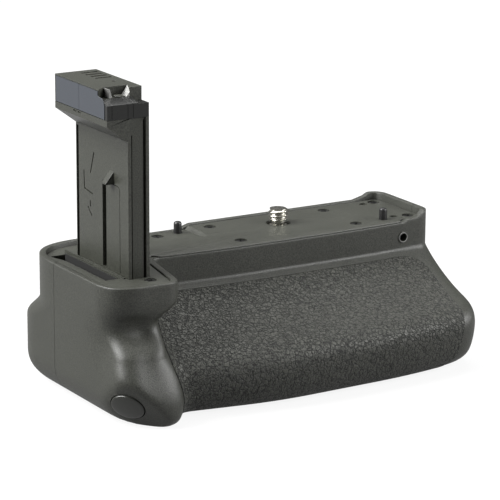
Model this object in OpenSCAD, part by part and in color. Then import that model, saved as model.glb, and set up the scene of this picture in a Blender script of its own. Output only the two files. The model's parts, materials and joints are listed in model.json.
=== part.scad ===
// Camera battery grip: a camera stands on its deck and is clamped by a turned screw, the tower
// reaches up into the camera's battery well, and two flat cells ride in a tray in the body.
// Origin on the clamping screw's axis at the deck's top face, +X along the grip, -Y to the front.

/* [Body] */
// From the battery chamber to the left end, below the tower
end_room = 18.2; // [17.5:0.1:20]
// From the screw axis to the right end, where the tray comes out
right_end = 47.3; // [46.5:0.1:52]
// From the screw axis to the rear edge of the deck
rear_edge = 13.3; // [12.8:0.1:14]
// From the screw axis to the front wall under the deck
front_wall = 19.2; // [18.8:0.1:21]
// Height of the body below the deck
body_depth = 42.3; // [41.8:0.1:45]
// Thickness of the moulded shells
wall = 2.1; // [1.9:0.1:2.3]
// Depth of the straight walls above the swelling of the grip
ledge_drop = 9.3; // [9:0.1:9.6]
// Reach of the hand bulge in front of the screw axis, at mid length
bulge_reach = 55.5; // [54:0.5:59]
// Reach of the hand bulge at the right end
bulge_end_reach = 48.2; // [47:0.1:50]
// Reach of the rear swelling behind the screw axis
rear_reach = 19; // [18.5:0.1:20]
// From the tower's front to the edge of the body at deck height
lobe_room = 10.4; // [10:0.1:11.5]
// How much further the same end reaches at the bottom, round the release button
foot_swell = 8.9; // [8:0.1:10]
// Joint plane between the front and the rear shell, behind the front wall
seam_inset = 9.5; // [9:0.1:9.8]
// Gap along the joint plane
seam_gap = 0.16; // [0.1:0.02:0.2]
// Height of the raised rim across the right end
rim_lift = 2.3; // [1.5:0.1:3]

/* [Rubber] */
// Thickness of the rubber skins
skin_thick = 1.1; // [0.9:0.1:1.3]
// How far the rubber stands proud of the shell
skin_proud = 0.3; // [0.2:0.05:0.5]

/* [Deck] */
// Thickness of the deck under the camera
deck_thick = 2.9; // [2.7:0.1:3.1]
// Drop of the deck's left part, round the tower
deck_drop = 1.1; // [0.9:0.1:1.3]
// Where the deck steps down, left of the screw axis
step_at = 27; // [26.5:0.5:28]
// Clearance all round the deck
deck_play = 0.25; // [0.15:0.05:0.35]
// Length of the well that keeps the camera's own battery door
well_length = 36; // [34:0.5:37]
// Width of that well
well_width = 5; // [4.6:0.1:5.2]
// Depth of that well
well_depth = 22; // [20:0.5:23]
// Wall of that well
well_wall = 1; // [0.9:0.05:1.1]
// Diameter of the two locating pins
pin_d = 2.6; // [2.4:0.1:2.8]
// Height of the locating pins over the deck
pin_height = 3.8; // [3:0.1:4.5]

/* [Tower] */
// Thickness of the camera battery that the tower's head stands in for
head_thick = 14; // [13.6:0.1:14.4]
// Width of that battery, along Y
head_width = 33.2; // [32.8:0.1:33.6]
// Height of the head's top over the deck
tower_height = 57.2; // [56:0.1:59]
// Thickness of the stem below the head
stem_thick = 7.1; // [6.9:0.1:7.5]
// Front of the tower, before the screw axis
tower_front = 36.2; // [36:0.1:36.5]
// From the left end of the body to the right face of the tower
tower_inset = 18.6; // [18.4:0.1:18.8]

/* [Screw and wheel] */
// Thread diameter of the clamping screw, 1/4 inch
screw_d = 6.35; // [6.3:0.01:6.4]
// Height of the clamping screw over the deck
screw_height = 5.1; // [4.5:0.1:5.5]
// Diameter of the tightening wheel
wheel_d = 32.6; // [32.2:0.1:33.4]
// Thickness of the tightening wheel
wheel_thick = 7.2; // [6.8:0.1:7.4]
// Number of grip notches round the wheel
wheel_notches = 30; // [24:1:36]
// Thread diameter of the tripod bush, 1/4 inch
bush_bore_d = 6.35; // [6.3:0.01:6.4]

/* [Cells and tray] */
// Length of one cell
cell_length = 49.4; // [48.8:0.1:49.6]
// Width of one cell
cell_width = 33; // [32.6:0.1:33.2]
// Thickness of one cell
cell_thick = 14; // [13.7:0.1:14.2]
// Room round a cell in its bay
cell_play = 0.4; // [0.3:0.05:0.5]
// Wall of the tray
tray_wall = 1.6; // [1.4:0.1:1.7]
// Clearance between the tray and its chamber
tray_play = 0.2; // [0.15:0.05:0.3]
// Wall of the chamber
chamber_wall = 1.2; // [1:0.1:1.3]
// Thickness of the tray's end cover
cover_thick = 3.2; // [3:0.1:3.4]

/* [Release button] */
// Diameter of the release button
button_d = 10.4; // [10:0.1:10.8]
// Travel of the release button
button_travel = 0.8; // [0.5:0.1:1]
// Height of the release button's centre over the bottom
button_lift = 6.8; // [6.5:0.1:7.2]

/* [Sockets] */
// Bore of the remote socket
jack_d = 2.6; // [2.5:0.05:2.7]
// Outer diameter of the remote socket's ring
jack_ring_d = 4.2; // [4:0.1:4.4]

/* [Hidden] */
$fn = 48;
bite = 0.4;       // overlap that fuses solids of one piece
fit_gap = 0.08;   // radial clearance of a running fit
near_gap = 0.25;  // clearance between fixed neighbours
seam_y = -seam_inset;
base_z = -body_depth;
ledge_z = -ledge_drop;
deck_low = -deck_drop;
deck_under = -deck_thick;
// The tray and its chamber, which set where the left end of the body lies
tray_lip = 4;
tray_length = 2 * (cell_length + cell_play) + 3 * tray_wall + tray_lip;
tray_width = cell_width + cell_play + 2 * tray_wall;
tray_height = cell_thick + cell_play + tray_wall;
chamber_z = base_z + wall + near_gap;
tray_z = chamber_z + chamber_wall + tray_play;
cover_face = right_end - 0.4;
tray_end = cover_face - cover_thick;
contact_room = 2.5;
chamber_in_width = tray_width + 2 * tray_play;
chamber_in_height = tray_height + 2 * tray_play;
chamber_left = tray_end - tray_length - contact_room;
cover_width = chamber_in_width + 2 * chamber_wall;
cover_height = chamber_in_height + 2 * chamber_wall;
tray_y = rear_reach - 6.1 - cover_width / 2;
chamber_front = tray_y - cover_width / 2;
lock_z = tray_z + tray_height / 2;
left_end = end_room - chamber_left;
tower_right = left_end - tower_inset;
lobe_reach = tower_front + lobe_room;
foot_reach = lobe_reach + foot_swell;
plastic = "#3a3b3a";
rubber = "#2e2f2c";
steel = "#c9cacb";
gold = "#c8a24a";

// Small helpers for points and curves
function lerp(a, b, t) = a + (b - a) * t;
function unit(v) = v / norm(v);
function ease(t) = let(u = min(1, max(0, t))) u * u * (3 - 2 * u);
function bez2(a, b, c, t) = lerp(lerp(a, b, t), lerp(b, c, t), t);
function bez3(a, b, c, d, t) = lerp(bez2(a, b, c, t), bez2(b, c, d, t), t);
// Inset of a wall at height z where it rounds into the bottom with radius r
function toe(z, r) = z >= base_z + r ? 0 : r - sqrt(max(0, r * r - pow(base_z + r - z, 2)));

// An outline is a list of corners: place, length of the rounding, steps of the run that follows
arc_steps = 5;
function reach(c, i, k) = let(run = c[k][0] - c[i][0], share = c[k][1] == 0 ? 0.92 : 0.47)
  min(c[i][1], norm(run) * share) * unit(run);
function rounded(c) = let(n = len(c) - 1) [
  for (i = [0 : n - 1])
    let(a = i == 0 ? c[0][0] : c[i][0] + reach(c, i, i + 1),
        b = i == n - 1 ? c[n][0] : c[i + 1][0] + reach(c, i + 1, i))
      each concat(
        [for (j = [0 : c[i][2] - 1]) lerp(a, b, j / c[i][2])],
        i == n - 1 ? [b] : [for (j = [0 : arc_steps - 1])
          bez2(b, c[i + 1][0], c[i + 1][0] + reach(c, i + 1, i + 2), j / arc_steps)])];

// Heights of the body's outlines, each with how far the front has swollen from wall to bulge
bulge_top = -21.8;
bulge_full = -29.5;
levels = concat(
  [[0, 0], [deck_under, 0], [-5.4, 0], [-7.4, 0], [ledge_z, 0]],
  [for (i = [1 : 7]) bez3([ledge_z, 0], [-12.8, 0.12], [-18.4, 0.42], [bulge_top, 0.78], i / 7)],
  [for (i = [1 : 4]) bez3([bulge_top, 0.78], [-23.4, 0.94], [-25.6, 1], [bulge_full, 1], i / 4)],
  [for (i = [1 : 7]) bez3([bulge_full, 1], [-37, 1], [base_z, 0.87], [base_z, 0.69], i / 7)]);

left_toe = 10;
// Outline of the front half at height z with swelling f, from the left end round to the right
function front_corners(z, f) =
  let(s = ease((-z - 6) / (body_depth - 4)),
      neck = ease((-z - 5.5) / 7),
      shelf = ease((-z - 12) / 9),
      low = ease((-z - 20) / 16),
      x_left = -left_end + toe(z, left_toe),
      x_right = right_end - toe(z, 5),
      y_foot = -lerp(lobe_reach, foot_reach, 0.6 * shelf + 0.4 * low) + toe(z, 5))
  [[[x_left, seam_y], 0, 4],
   [[x_left, y_foot], 11 - 2 * neck - 2.5 * shelf, 4],
   [[23.4 - left_end - 8 * neck + 4 * low, y_foot], 4.5 + 1.5 * s, 4],
   [[28.8 - left_end - 8.4 * ease((-z - 10) / 15) + 2.6 * low, -lerp(front_wall - 2, bulge_reach - 6, f)],
    lerp(3.5, 5, s), 4],
   [[55.4 - left_end, -lerp(front_wall, bulge_reach, f)], 12, 4],
   [[right_end - 29.3, -lerp(front_wall, bulge_reach - 2, f)], 12, 4],
   [[x_right, -lerp(front_wall - 1.8, bulge_end_reach, f)], lerp(5, 11, s), 3],
   [[x_right, seam_y], 0, 0]];
// Outline of the rear half, from the right end round to the left
function rear_corners(z) =
  let(g = ease((-z - 13) / 8),
      x_left = -left_end + toe(z, left_toe),
      x_right = right_end - toe(z, 5),
      y = lerp(rear_edge, rear_reach, g) - toe(z, 7))
  [[[x_right, seam_y], 0, 3],
   [[x_right, y], lerp(6, 4.5, g), 8],
   [[x_left, y], lerp(20, 15, g), 3],
   [[x_left, seam_y], 0, 0]];

// The slanted face that carries the release button cuts the corner of the foot
facet_tilt = 124.4;
facet_turn = -139.9;
facet_n = [sin(facet_tilt) * cos(facet_turn), sin(facet_tilt) * sin(facet_turn), cos(facet_tilt)];
facet_soft = 0.9;
button_at = [4.9 - left_end, 8.2 - foot_reach, base_z + button_lift];
facet_reach = facet_n * button_at;
function facet_cut(p) =
  let(e = (p * facet_n - facet_reach) / facet_soft,
      over = facet_soft * (e > 20 ? e : ln(1 + exp(e))),
      flat = [facet_n[0], facet_n[1], 0])
  p - unit(flat) * over / norm(flat);
// A finger hollow under the rim of the same corner
hollow_at = [2.4 - left_end, 0.6 - lobe_reach, -11.5];
hollow_r = 10;
hollow_depth = 3;
function finger_hollow(p) =
  let(q = p - hollow_at, e = norm([q[0], q[1], q[2] * 1.5]) / hollow_r)
  p + [0.8, 0.6, 0] * hollow_depth * exp(-1.5 * e * e) * ease((-p[2] - 3) / 6);

// Height of the rim at plan position x: it climbs at the right end
function rim_z(x) = lerp(0.3, rim_lift, ease((x - right_end + 9) / 4.5));
function rear_rim_z(x) = x < 27.4 - left_end ? 0.3 : x < -step_at ? deck_low : rim_z(x);
function front_point(q, z) = z == 0 ? [q[0], q[1], rim_z(q[0])] : finger_hollow(facet_cut([q[0], q[1], z]));
function rear_point(q, z) = z == 0 ? [q[0], q[1], rear_rim_z(q[0])] : [q[0], q[1], z];
front_grid = [for (v = levels) [for (q = rounded(front_corners(v[0], v[1]))) front_point(q, v[0])]];
rear_grid = [for (v = levels) [for (q = rounded(rear_corners(v[0]))) rear_point(q, v[0])]];

// Outward normal of a grid of points, and the same grid moved along its normals
function grid_normal(g, i, j) =
  let(a = g[i][min(j + 1, len(g[0]) - 1)] - g[i][max(j - 1, 0)],
      b = g[min(i + 1, len(g) - 1)][j] - g[max(i - 1, 0)][j])
  unit(cross(b, a));
// Inner face of a shell: level at the rim and at the bottom, and straight along the joint plane
function inner_grid(g) = [for (i = [0 : len(g) - 1]) [for (j = [0 : len(g[0]) - 1])
  let(n = grid_normal(g, i == 0 ? 1 : i, j), p = g[i][j],
      flat = unit([n[0], j == 0 || j == len(g[0]) - 1 ? 0 : n[1], 0]),
      q = i < 3 || i == len(g) - 1 ? p - flat * wall : p - n * wall)
  [q[0], j == 0 || j == len(g[0]) - 1 ? p[1] : q[1],
   i < 3 ? p[2] : i == len(g) - 1 ? base_z + wall : min(q[2], g[i - 1][j][2])]]];

// Triangles between two rows of n points that start at a and b
function strip(a, b, n) = [for (j = [0 : n - 2]) each
  [[a + j, a + j + 1, b + j + 1], [a + j, b + j + 1, b + j]]];
// Triangles over a whole grid of rows that start at s
function grid_faces(rows, n, s) = [for (i = [0 : rows - 2]) each strip(s + i * n, s + (i + 1) * n, n)];
function flipped(faces) = [for (f = faces) [f[2], f[1], f[0]]];

// Half of the body as a shell open at the top and along the joint plane
module shell_half(g, centre) {
  n = len(g[0]);
  m = len(g);
  size = n * m;
  mid = 2 * size;
  last = (m - 1) * n;
  g_in = inner_grid(g);
  side = [for (i = [0 : m - 2]) each
    [[i * n, (i + 1) * n, size + (i + 1) * n], [i * n, size + (i + 1) * n, size + i * n]]];
  far = [for (i = [0 : m - 2]) let(k = i * n + n - 1) each
    [[k + n, k, size + k], [k + n, size + k, size + k + n]]];
  floor_out = [for (j = [0 : n - 1]) [mid, last + j, last + (j + 1) % n]];
  floor_in = [for (j = [0 : n - 1]) [size + last + j, mid + 1, size + last + (j + 1) % n]];
  polyhedron(
    concat([for (r = g) each r], [for (r = g_in) each r],
      [[centre[0], centre[1], base_z], [centre[0], centre[1], base_z + wall]]),
    concat(grid_faces(m, n, 0), flipped(grid_faces(m, n, size)), strip(size, 0, n), side, far,
      floor_out, floor_in, [[last, size - 1, mid - 1], [last, mid - 1, size + last]]));
}

// A rubber sheet over rows i0..i1 and columns j0..j1 of a grid, sunk into the shell between
function patch(g, i0, i1, j0, j1, d) = [for (i = [i0 : i1]) [for (j = [j0 : j1])
  let(edge = i == i0 || i == i1 || j == j0 || j == j1)
  g[i][j] + grid_normal(g, i, j) * (d < 0 && edge ? 0.05 : d)]];
module rubber_sheet(g, i0, i1, j0, j1) {
  top = patch(g, i0, i1, j0, j1, skin_proud);
  low = patch(g, i0, i1, j0, j1, skin_proud - skin_thick);
  m = len(top);
  n = len(top[0]);
  size = m * n;
  rim_a = [for (i = [0 : m - 2]) each
    [[i * n, (i + 1) * n, size + (i + 1) * n], [i * n, size + (i + 1) * n, size + i * n]]];
  rim_b = [for (i = [0 : m - 2]) let(k = i * n + n - 1) each
    [[k + n, k, size + k], [k + n, size + k, size + k + n]]];
  polyhedron(concat([for (r = top) each r], [for (r = low) each r]),
    concat(grid_faces(m, n, 0), flipped(grid_faces(m, n, size)), strip(size, 0, n),
      strip((m - 1) * n, size + (m - 1) * n, n), rim_a, rim_b));
}
// The same area of a shell's grid pressed in to take the sheet
function pressed(g, i0, i1, j0, j1) = [for (i = [0 : len(g) - 1]) [for (j = [0 : len(g[0]) - 1])
  i > i0 && i < i1 && j > j0 && j < j1
    ? g[i][j] - grid_normal(g, i, j) * (skin_thick - skin_proud + 0.05) : g[i][j]]];
skin_rows = [5, 20];
skin_cols = [20, 48];
pad_rows = [12, 17];
pad_cols = [8, 11];

// Cutters shared by the shells and what they carry
module cover_outline(gap) {
  translate([tray_y, chamber_z + cover_height / 2])
    offset_square(cover_width + 2 * gap, cover_height + 2 * gap, 2.5 + gap);
}
// A rectangle with round corners, centred
module offset_square(w, h, r) {
  for (x = [-1, 1]) for (y = [-1, 1]) translate([x * (w / 2 - r), y * (h / 2 - r)]) circle(r, $fn = 24);
  square([w - 2 * r, h], center = true);
  square([w, h - 2 * r], center = true);
}
// Turns a profile drawn in Y and Z into a prism along +X from x0
module along_x(x0, length) {
  translate([x0, 0, 0]) rotate([90, 0, 90]) linear_extrude(length) children();
}
boss_r = button_d / 2 + 2.4;
switch_depth = 9.6;
module at_button() {
  translate(button_at) rotate([0, facet_tilt, facet_turn]) children();
}
jack_x = right_end - 11.3;
jack_z = -5.4;
jack_face = 1.1 - front_wall;
bush_at = [0, chamber_front - 7.1];
bush_r = 4.9;
bottom_screw_at = [[chamber_left + 17.2, chamber_front - 5], [right_end - 15.3, chamber_front - 5],
                   [chamber_left - 4.8, seam_y - 10.5], [chamber_left - 4.8, seam_y + 13.5]];
// Deck screws: four hold the wheel's bracket, the rest hold the deck to the shells
bracket_screw_at = [for (x = [-21.6, 21.3]) for (y = [rear_edge - 6.9, 6.2 - front_wall]) [x, y]];
shell_screw_at = [[right_end - 5.9, rear_edge - 5.7], [right_end - 5.7, 6.8 - front_wall],
                  [-step_at - 13, rear_edge - 5.7], [17 - left_end, -tower_front - 3.2]];
deck_screw_r = 0.8;
function deck_top(x) = x < -step_at ? deck_low : 0;

module screw_post(at, r, top, length, web) {
  difference() {
    union() {
      translate([at[0], at[1], top - length]) cylinder(r = r, h = length);
      translate([at[0] - 1.2, min(at[1], web), top - length]) cube([2.4, abs(web - at[1]), length]);
    }
    translate([at[0], at[1], top - length + 1]) cylinder(r = deck_screw_r, h = length);
  }
}

module front_shell() color(plastic) {
  difference() {
    union() {
      translate([0, -seam_gap / 2, 0]) shell_half(pressed(front_grid, skin_rows[0], skin_rows[1],
        skin_cols[0], skin_cols[1]), [-60, -20]);
      translate([bush_at[0], bush_at[1], base_z + wall - bite]) cylinder(r = bush_r + 1.6, h = 6 + bite);
      at_button() translate([0, 0, -switch_depth]) cylinder(r = boss_r, h = switch_depth - 2.6);
      screw_post(shell_screw_at[1], 2.4, deck_under, 6, wall + 1.5 - front_wall);
      screw_post(shell_screw_at[3], 2.4, deck_low - deck_thick + deck_drop, 6, 1 - lobe_reach);
    }
    translate([jack_x, -seam_inset, jack_z]) rotate([90, 0, 0])
      cylinder(r = jack_ring_d / 2 + 0.05, h = front_wall);
    at_button() {
      translate([0, 0, -6]) cylinder(r = button_d / 2 + fit_gap, h = 12);
      translate([0, 0, -switch_depth - 3]) cylinder(r = boss_r - 1.1, h = switch_depth + 3 - wall);
    }
    along_x(tray_end - 3, 12) cover_outline(near_gap);
    translate([bush_at[0], bush_at[1], base_z - 1]) cylinder(r = bush_r, h = 12);
    wheel_slot();
    for (p = bottom_screw_at) if (p[1] < seam_y) bottom_screw_hole(p);
  }
}

module rear_shell() color(plastic) {
  difference() {
    union() {
      translate([0, seam_gap / 2, 0])
        shell_half(pressed(rear_grid, pad_rows[0], pad_rows[1], pad_cols[0], pad_cols[1]), [-20, 4]);
      screw_post(shell_screw_at[0], 2.4, deck_under, 6, rear_edge - wall + 0.3);
      screw_post(shell_screw_at[2], 2.4, deck_under, 6, rear_edge - wall + 0.3);
    }
    wheel_slot();
    along_x(tray_end - 3, 12) cover_outline(near_gap);
    for (p = bottom_screw_at) if (p[1] > seam_y) bottom_screw_hole(p);
  }
}
module wheel_slot() {
  translate([0, 0, wheel_z - 0.4]) cylinder(r = wheel_d / 2 + 0.6, h = wheel_thick + 0.8);
}
module bottom_screw_hole(p) {
  translate([p[0], p[1], base_z - 1]) cylinder(r = 1.2, h = 6);
  translate([p[0], p[1], base_z - 1]) cylinder(r = 2.2, h = 2);
}

module grip_skin() color(rubber)
  translate([0, -seam_gap / 2, 0]) rubber_sheet(front_grid, skin_rows[0], skin_rows[1], skin_cols[0], skin_cols[1]);
module thumb_pad() color(rubber)
  translate([0, seam_gap / 2, 0]) rubber_sheet(rear_grid, pad_rows[0], pad_rows[1], pad_cols[0], pad_cols[1]);

// Plan of the space inside the shells at the deck, less the clearance
function deck_edge(g) = let(d = wall + deck_play) [for (j = [0 : len(g[0]) - 1])
  let(n = grid_normal(g, 1, j), p = g[1][j],
      flat = unit([n[0], j == 0 || j == len(g[0]) - 1 ? 0 : n[1]]))
  [p[0], p[1]] - flat * d];
module deck_plan() polygon(concat(deck_edge(front_grid), deck_edge(rear_grid)));
stem_x = -tower_right - stem_thick;
well_x = stem_x - 1.5 - well_width;
well_y = 2.4 - tower_front;
tower_rear = head_width - tower_front;

module top_deck() color(plastic) {
  difference() {
    union() {
      translate([0, 0, deck_under]) linear_extrude(deck_thick - deck_drop) deck_plan();
      intersection() {
        translate([0, 0, deck_low - 0.5]) linear_extrude(deck_drop + 0.5) deck_plan();
        translate([0, rear_edge, 0]) rotate([90, 0, 0]) linear_extrude(rear_edge + front_wall)
          polygon([[-step_at - deck_drop, deck_low], [-step_at, 0], [right_end, 0], [right_end, deck_low - 0.5],
                   [-step_at - deck_drop, deck_low - 0.5]]);
      }
      intersection() {
        translate([well_x - well_wall, well_y - well_wall, deck_low - well_depth])
          cube([well_width + 2 * well_wall, well_length + 2 * well_wall, well_depth - 0.5]);
        translate([0, 0, deck_low - well_depth - 1]) linear_extrude(well_depth + 1) deck_plan();
      }
    }
    translate([well_x, well_y, deck_low - well_depth + well_wall])
      cube([well_width, well_length, well_depth + 1]);
    translate([0, 0, deck_under - 1]) cylinder(r = screw_d / 2 + 0.3, h = deck_thick + 2);
    translate([stem_x - near_gap, -tower_front - near_gap, deck_under - 1])
      cube([stem_thick + 2 * near_gap, tower_front + tower_rear + 2 * near_gap, deck_thick + 2]);
    for (p = concat(bracket_screw_at, shell_screw_at)) translate([p[0], p[1], 0]) {
      translate([0, 0, deck_under - 1]) cylinder(r = deck_screw_r + 0.25, h = deck_thick + 2);
      translate([0, 0, deck_top(p[0]) - 0.9]) cylinder(r = screw_head_r + 0.2, h = 2);
    }
    for (p = plain_hole_at) translate([p[0], p[1], deck_under - 1]) cylinder(r = 0.9, h = deck_thick + 2);
    for (p = pin_at) translate([p[0], p[1], deck_under - 1]) cylinder(r = pin_d / 2 + 0.2, h = deck_thick + 2);
  }
}
screw_head_r = 1.7;
pin_at = [[-step_at - 5.2, rear_edge - 4.9], [right_end - 15.5, 6.4 - front_wall]];
plain_hole_at = [[right_end - 10.4, rear_edge - 6.4], [right_end - 10.7, 7.6 - front_wall]];

module deck_screws() color(steel) {
  for (p = concat(bracket_screw_at, shell_screw_at)) translate([p[0], p[1], deck_top(p[0]) - 0.9]) {
    cylinder(r = screw_head_r, h = 0.7);
    translate([0, 0, -5.4]) cylinder(r = deck_screw_r - 0.05, h = 5.5);
  }
}

module locating_pins() color("#1d1d1e") {
  for (p = pin_at) let(deck = deck_top(p[0]) - deck_under, tip = deck + pin_height)
    translate([p[0], p[1], deck_under]) rotate_extrude()
      polygon([[0, 0], [pin_d / 2 + 0.19, 0], [pin_d / 2 + 0.19, deck], [pin_d / 2, deck],
               [pin_d / 2, tip - 0.6], [pin_d / 2 - 0.6, tip], [0, tip]]);
}

// Spring latch that keeps the stored door in its well
module door_latch() color(plastic) {
  translate([well_x - 2.2, well_y + 15.8, deck_low + 0.05]) {
    cube([1.9, 13, 0.7]);
    translate([0, 4, 0]) cube([2.9, 4, 0.7]);
  }
}

// Tower: a core, a cover on its left face, the head with its contact block, and the contacts
shoulder_z = tower_height - 15.5;
lip_z = tower_height - 10.4;
head_z = tower_height - 8.4;
block_top = tower_height - 4.1;
head_front = tower_front - 4.4;
cover_plate = 1.1;
foot_flange = 2;
module tower_core() color(plastic) {
  x0 = stem_x + cover_plate + 0.05;
  difference() {
    union() {
      translate([x0, -tower_front + 0.6, deck_under - foot_flange])
        cube([-tower_right - x0, tower_front - 0.6 + tower_rear, head_z - deck_under + foot_flange]);
      translate([-tower_right - 1.1, -tower_front, deck_under - 0.5])
        cube([1.1, tower_front + tower_rear, head_z - deck_under + 0.5]);
      translate([x0 - 0.3, 0.6 - tower_front, deck_under - foot_flange - 0.05])
        cube([9.5, tower_front + tower_rear + 1.4, foot_flange]);
    }
    translate([-tower_right - 1.6, -tower_front - 1, deck_under + 0.2]) cube([0.5, 2.4, head_z]);
    translate([-69.4, tower_rear - 0.9, 2]) cube([1.6, 2, shoulder_z + 0.3]);
  }
}
rail_y = 5.8 - tower_front;
rail_width = 7.8;
rail_top = shoulder_z - 16.3;
module tower_cover() color(plastic) {
  difference() {
    union() {
      translate([stem_x, -tower_front, deck_under])
        cube([cover_plate, tower_front + tower_rear, head_z - deck_under]);
      translate([0, tower_rear, 0]) rotate([90, 0, 0]) linear_extrude(tower_front + tower_rear)
        polygon([[stem_x, shoulder_z], [-tower_right - head_thick, lip_z],
                 [-tower_right - head_thick, head_z - 0.05], [stem_x + cover_plate, head_z - 0.05],
                 [stem_x + cover_plate, shoulder_z]]);
      translate([stem_x - 1.3, rail_y, 0]) cube([1.3 + bite, rail_width, rail_top]);
      along_x(stem_x - 1.5, 1.5 + bite) polygon([[rail_y + 3.8, rail_top + 5.8], [rail_y + 9.8, rail_top + 0.2],
        [rail_y + 9.8, rail_top - 0.4], [rail_y, rail_top - 0.4]]);
    }
    translate([stem_x - 1, rail_y + rail_width, -1]) cube([1.6, 2.2, rail_top + 0.6]);
    translate([stem_x - 0.5, tower_rear - 1.9, -10]) cube([0.9, 3, shoulder_z + 9]);
    translate([-tower_right - head_thick - 1, 16.4 - tower_front, head_z - 0.8]) cube([1.4, 5.6, 0.45]);
  }
}

contact_pitch = 3.3;
slot_y = tower_rear - 5.4;
label_size = [27.6, 7.7];
label_y = tower_rear - 0.6 - label_size[0];
label_z = head_z + 0.25;
module tower_head() color(plastic) {
  x0 = -tower_right - head_thick;
  difference() {
    translate([x0, -head_front, head_z]) cube([head_thick, head_front + tower_rear, tower_height - head_z]);
    for (i = [0 : 3]) translate([-tower_right - 5, slot_y - contact_pitch * i, tower_height - 1.6])
      cube([6, 1.7, 2]);
    translate([x0, 0, tower_height - 2.8]) linear_extrude(4)
      polygon([[1.4, -head_front - 1], [3.6, -head_front + 3.6],
               [head_thick - 3.8, -head_front + 3.6], [head_thick - 1.8, -head_front - 1]]);
    translate([x0 + 11.2, 7.6 - head_front, tower_height - 0.6]) cylinder(r = 0.7, h = 1);
    translate([x0 - 1, label_y - 0.2, label_z - 0.15]) cube([1.28, label_size[0] + 0.4, label_size[1] + 0.3]);
  }
}
module head_label() color("#4a505c") {
  x0 = -tower_right - head_thick;
  translate([x0 + 0.02, label_y, label_z]) cube([0.24, label_size[0], label_size[1]]);
}
module contact_block() color("#0c0d0e") {
  x0 = -tower_right - head_thick;
  difference() {
    union() {
      translate([x0 + 0.1, -tower_front, head_z]) cube([head_thick - 0.1, tower_front - head_front, block_top - head_z]);
      along_x(x0 + 1.6, head_thick - 4.8) polygon([[-head_front, block_top - 0.2], [-tower_front + 0.8, block_top - 0.2],
        [-head_front - 1, block_top + 1.3], [-head_front, block_top + 1.3]]);
    }
    for (x = [7, 8.9]) translate([x0 + x, -tower_front - 0.5, head_z + 0.4]) cube([0.35, 1, 6]);
  }
}
module tower_contacts() color(gold) {
  for (i = [0 : 3]) translate([-tower_right - 4.9, slot_y + 0.1 - contact_pitch * i, tower_height - 1.6])
    cube([4.4, 1.5, 0.5]);
}

// Clamping screw, its wheel, the clip under it and the bracket that carries them
wheel_z = deck_under - 0.5 - wheel_thick;
bracket_z = wheel_z - 1.2 - 1.4;
hub_r = 5.2;
spindle_r = 2.5;
bracket_half = 25;
bracket_front = wall + 1.7 - front_wall;
module attachment_screw() color(steel) {
  neck_r = screw_d / 2 - 0.5;
  rotate_extrude() polygon([[0, bracket_z + 0.2], [spindle_r, bracket_z + 0.2], [spindle_r, wheel_z - 0.9],
    [hub_r - 1.2, wheel_z - 0.9], [hub_r - 1.2, deck_under - 0.3], [neck_r, deck_under - 0.3],
    [neck_r, 0], [screw_d / 2, 0], [screw_d / 2, screw_height - 0.8], [screw_d / 2 - 0.8, screw_height],
    [0, screw_height]]);
}
module tightening_wheel() color("#2a2b2a") {
  difference() {
    translate([0, 0, wheel_z]) union() {
      cylinder(r = wheel_d / 2 - 0.9, h = wheel_thick);
      translate([0, 0, 1]) cylinder(r = wheel_d / 2, h = wheel_thick - 2);
    }
    translate([0, 0, wheel_z - 1]) cylinder(r = hub_r - 1.2 + 0.01, h = wheel_thick + 2);
    for (i = [0 : wheel_notches - 1]) rotate([0, 0, 360 / wheel_notches * i])
      translate([wheel_d / 2 + 0.4, 0, wheel_z - 1]) cylinder(r = 1.1, h = wheel_thick + 2, $fn = 12);
    translate([0, 0, wheel_z + wheel_thick - 1.4]) difference() {
      cylinder(r = wheel_d / 2 - 3.5, h = 2);
      translate([0, 0, -1]) cylinder(r = hub_r + 1.2, h = 4);
    }
  }
}
module screw_clip() color(steel) {
  translate([0, 0, wheel_z - 0.85]) difference() {
    cylinder(r = hub_r + 1.4, h = 0.7);
    translate([0, 0, -1]) cylinder(r = hub_r - 1.2 + 0.02, h = 3);
    translate([0, -1.2, -1]) cube([12, 2.4, 3]);
  }
}
module wheel_bracket() color("#6d6f70") {
  difference() {
    union() {
      translate([-bracket_half, bracket_front, bracket_z])
        cube([2 * bracket_half, rear_edge - 3.9 - bracket_front, 1.4]);
      for (p = bracket_screw_at) translate([p[0], p[1], bracket_z])
        cylinder(r = 2.3, h = deck_under - bracket_z - 0.05);
    }
    translate([0, 0, bracket_z - 1]) cylinder(r = spindle_r + 0.05, h = 4);
    for (p = bracket_screw_at) translate([p[0], p[1], deck_under - 6]) cylinder(r = deck_screw_r, h = 8);
    for (x = [-1, 1]) translate([x * bracket_half / 2, -3, bracket_z - 1]) cylinder(r = 3.2, h = 4);
  }
}

module jack_socket() color("#151515") {
  y0 = jack_face - 0.15;
  y1 = jack_face + wall + 0.35;
  difference() {
    union() {
      translate([jack_x, y1 + bite, jack_z]) rotate([90, 0, 0]) cylinder(r = jack_ring_d / 2, h = y1 + bite - y0);
      translate([jack_x - 2.4, y1, jack_z - 2.25]) cube([4.8, 8, 4.5]);
    }
    translate([jack_x, y1 + 7, jack_z]) rotate([90, 0, 0]) cylinder(r = jack_d / 2, h = 12);
  }
}

board_at = [29.4 - left_end, 5.7 - front_wall, deck_under - 2.6];
board_size = [-bracket_half - 3 - board_at[0], 18, 1.2];
board_post_at = [[2, 15.9], [board_size[0] - 2, 2.1]];
board_chip_at = [[0.14 * board_size[0], 7.5], [0.43 * board_size[0], 5.5], [0.64 * board_size[0], 13.5]];
module circuit_board() color("#2f5a3a") {
  difference() {
    union() {
      translate(board_at) cube(board_size);
      for (p = board_chip_at) translate(board_at + [p[0], p[1], -1.3]) cube([5, 4, 1.4]);
      for (p = board_post_at) translate(board_at + [p[0], p[1], 1.1]) cylinder(r = 1.6, h = 1.45);
    }
    for (p = board_post_at) translate(board_at + [p[0], p[1], -1]) cylinder(r = 0.7, h = 3.3);
  }
}

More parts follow.
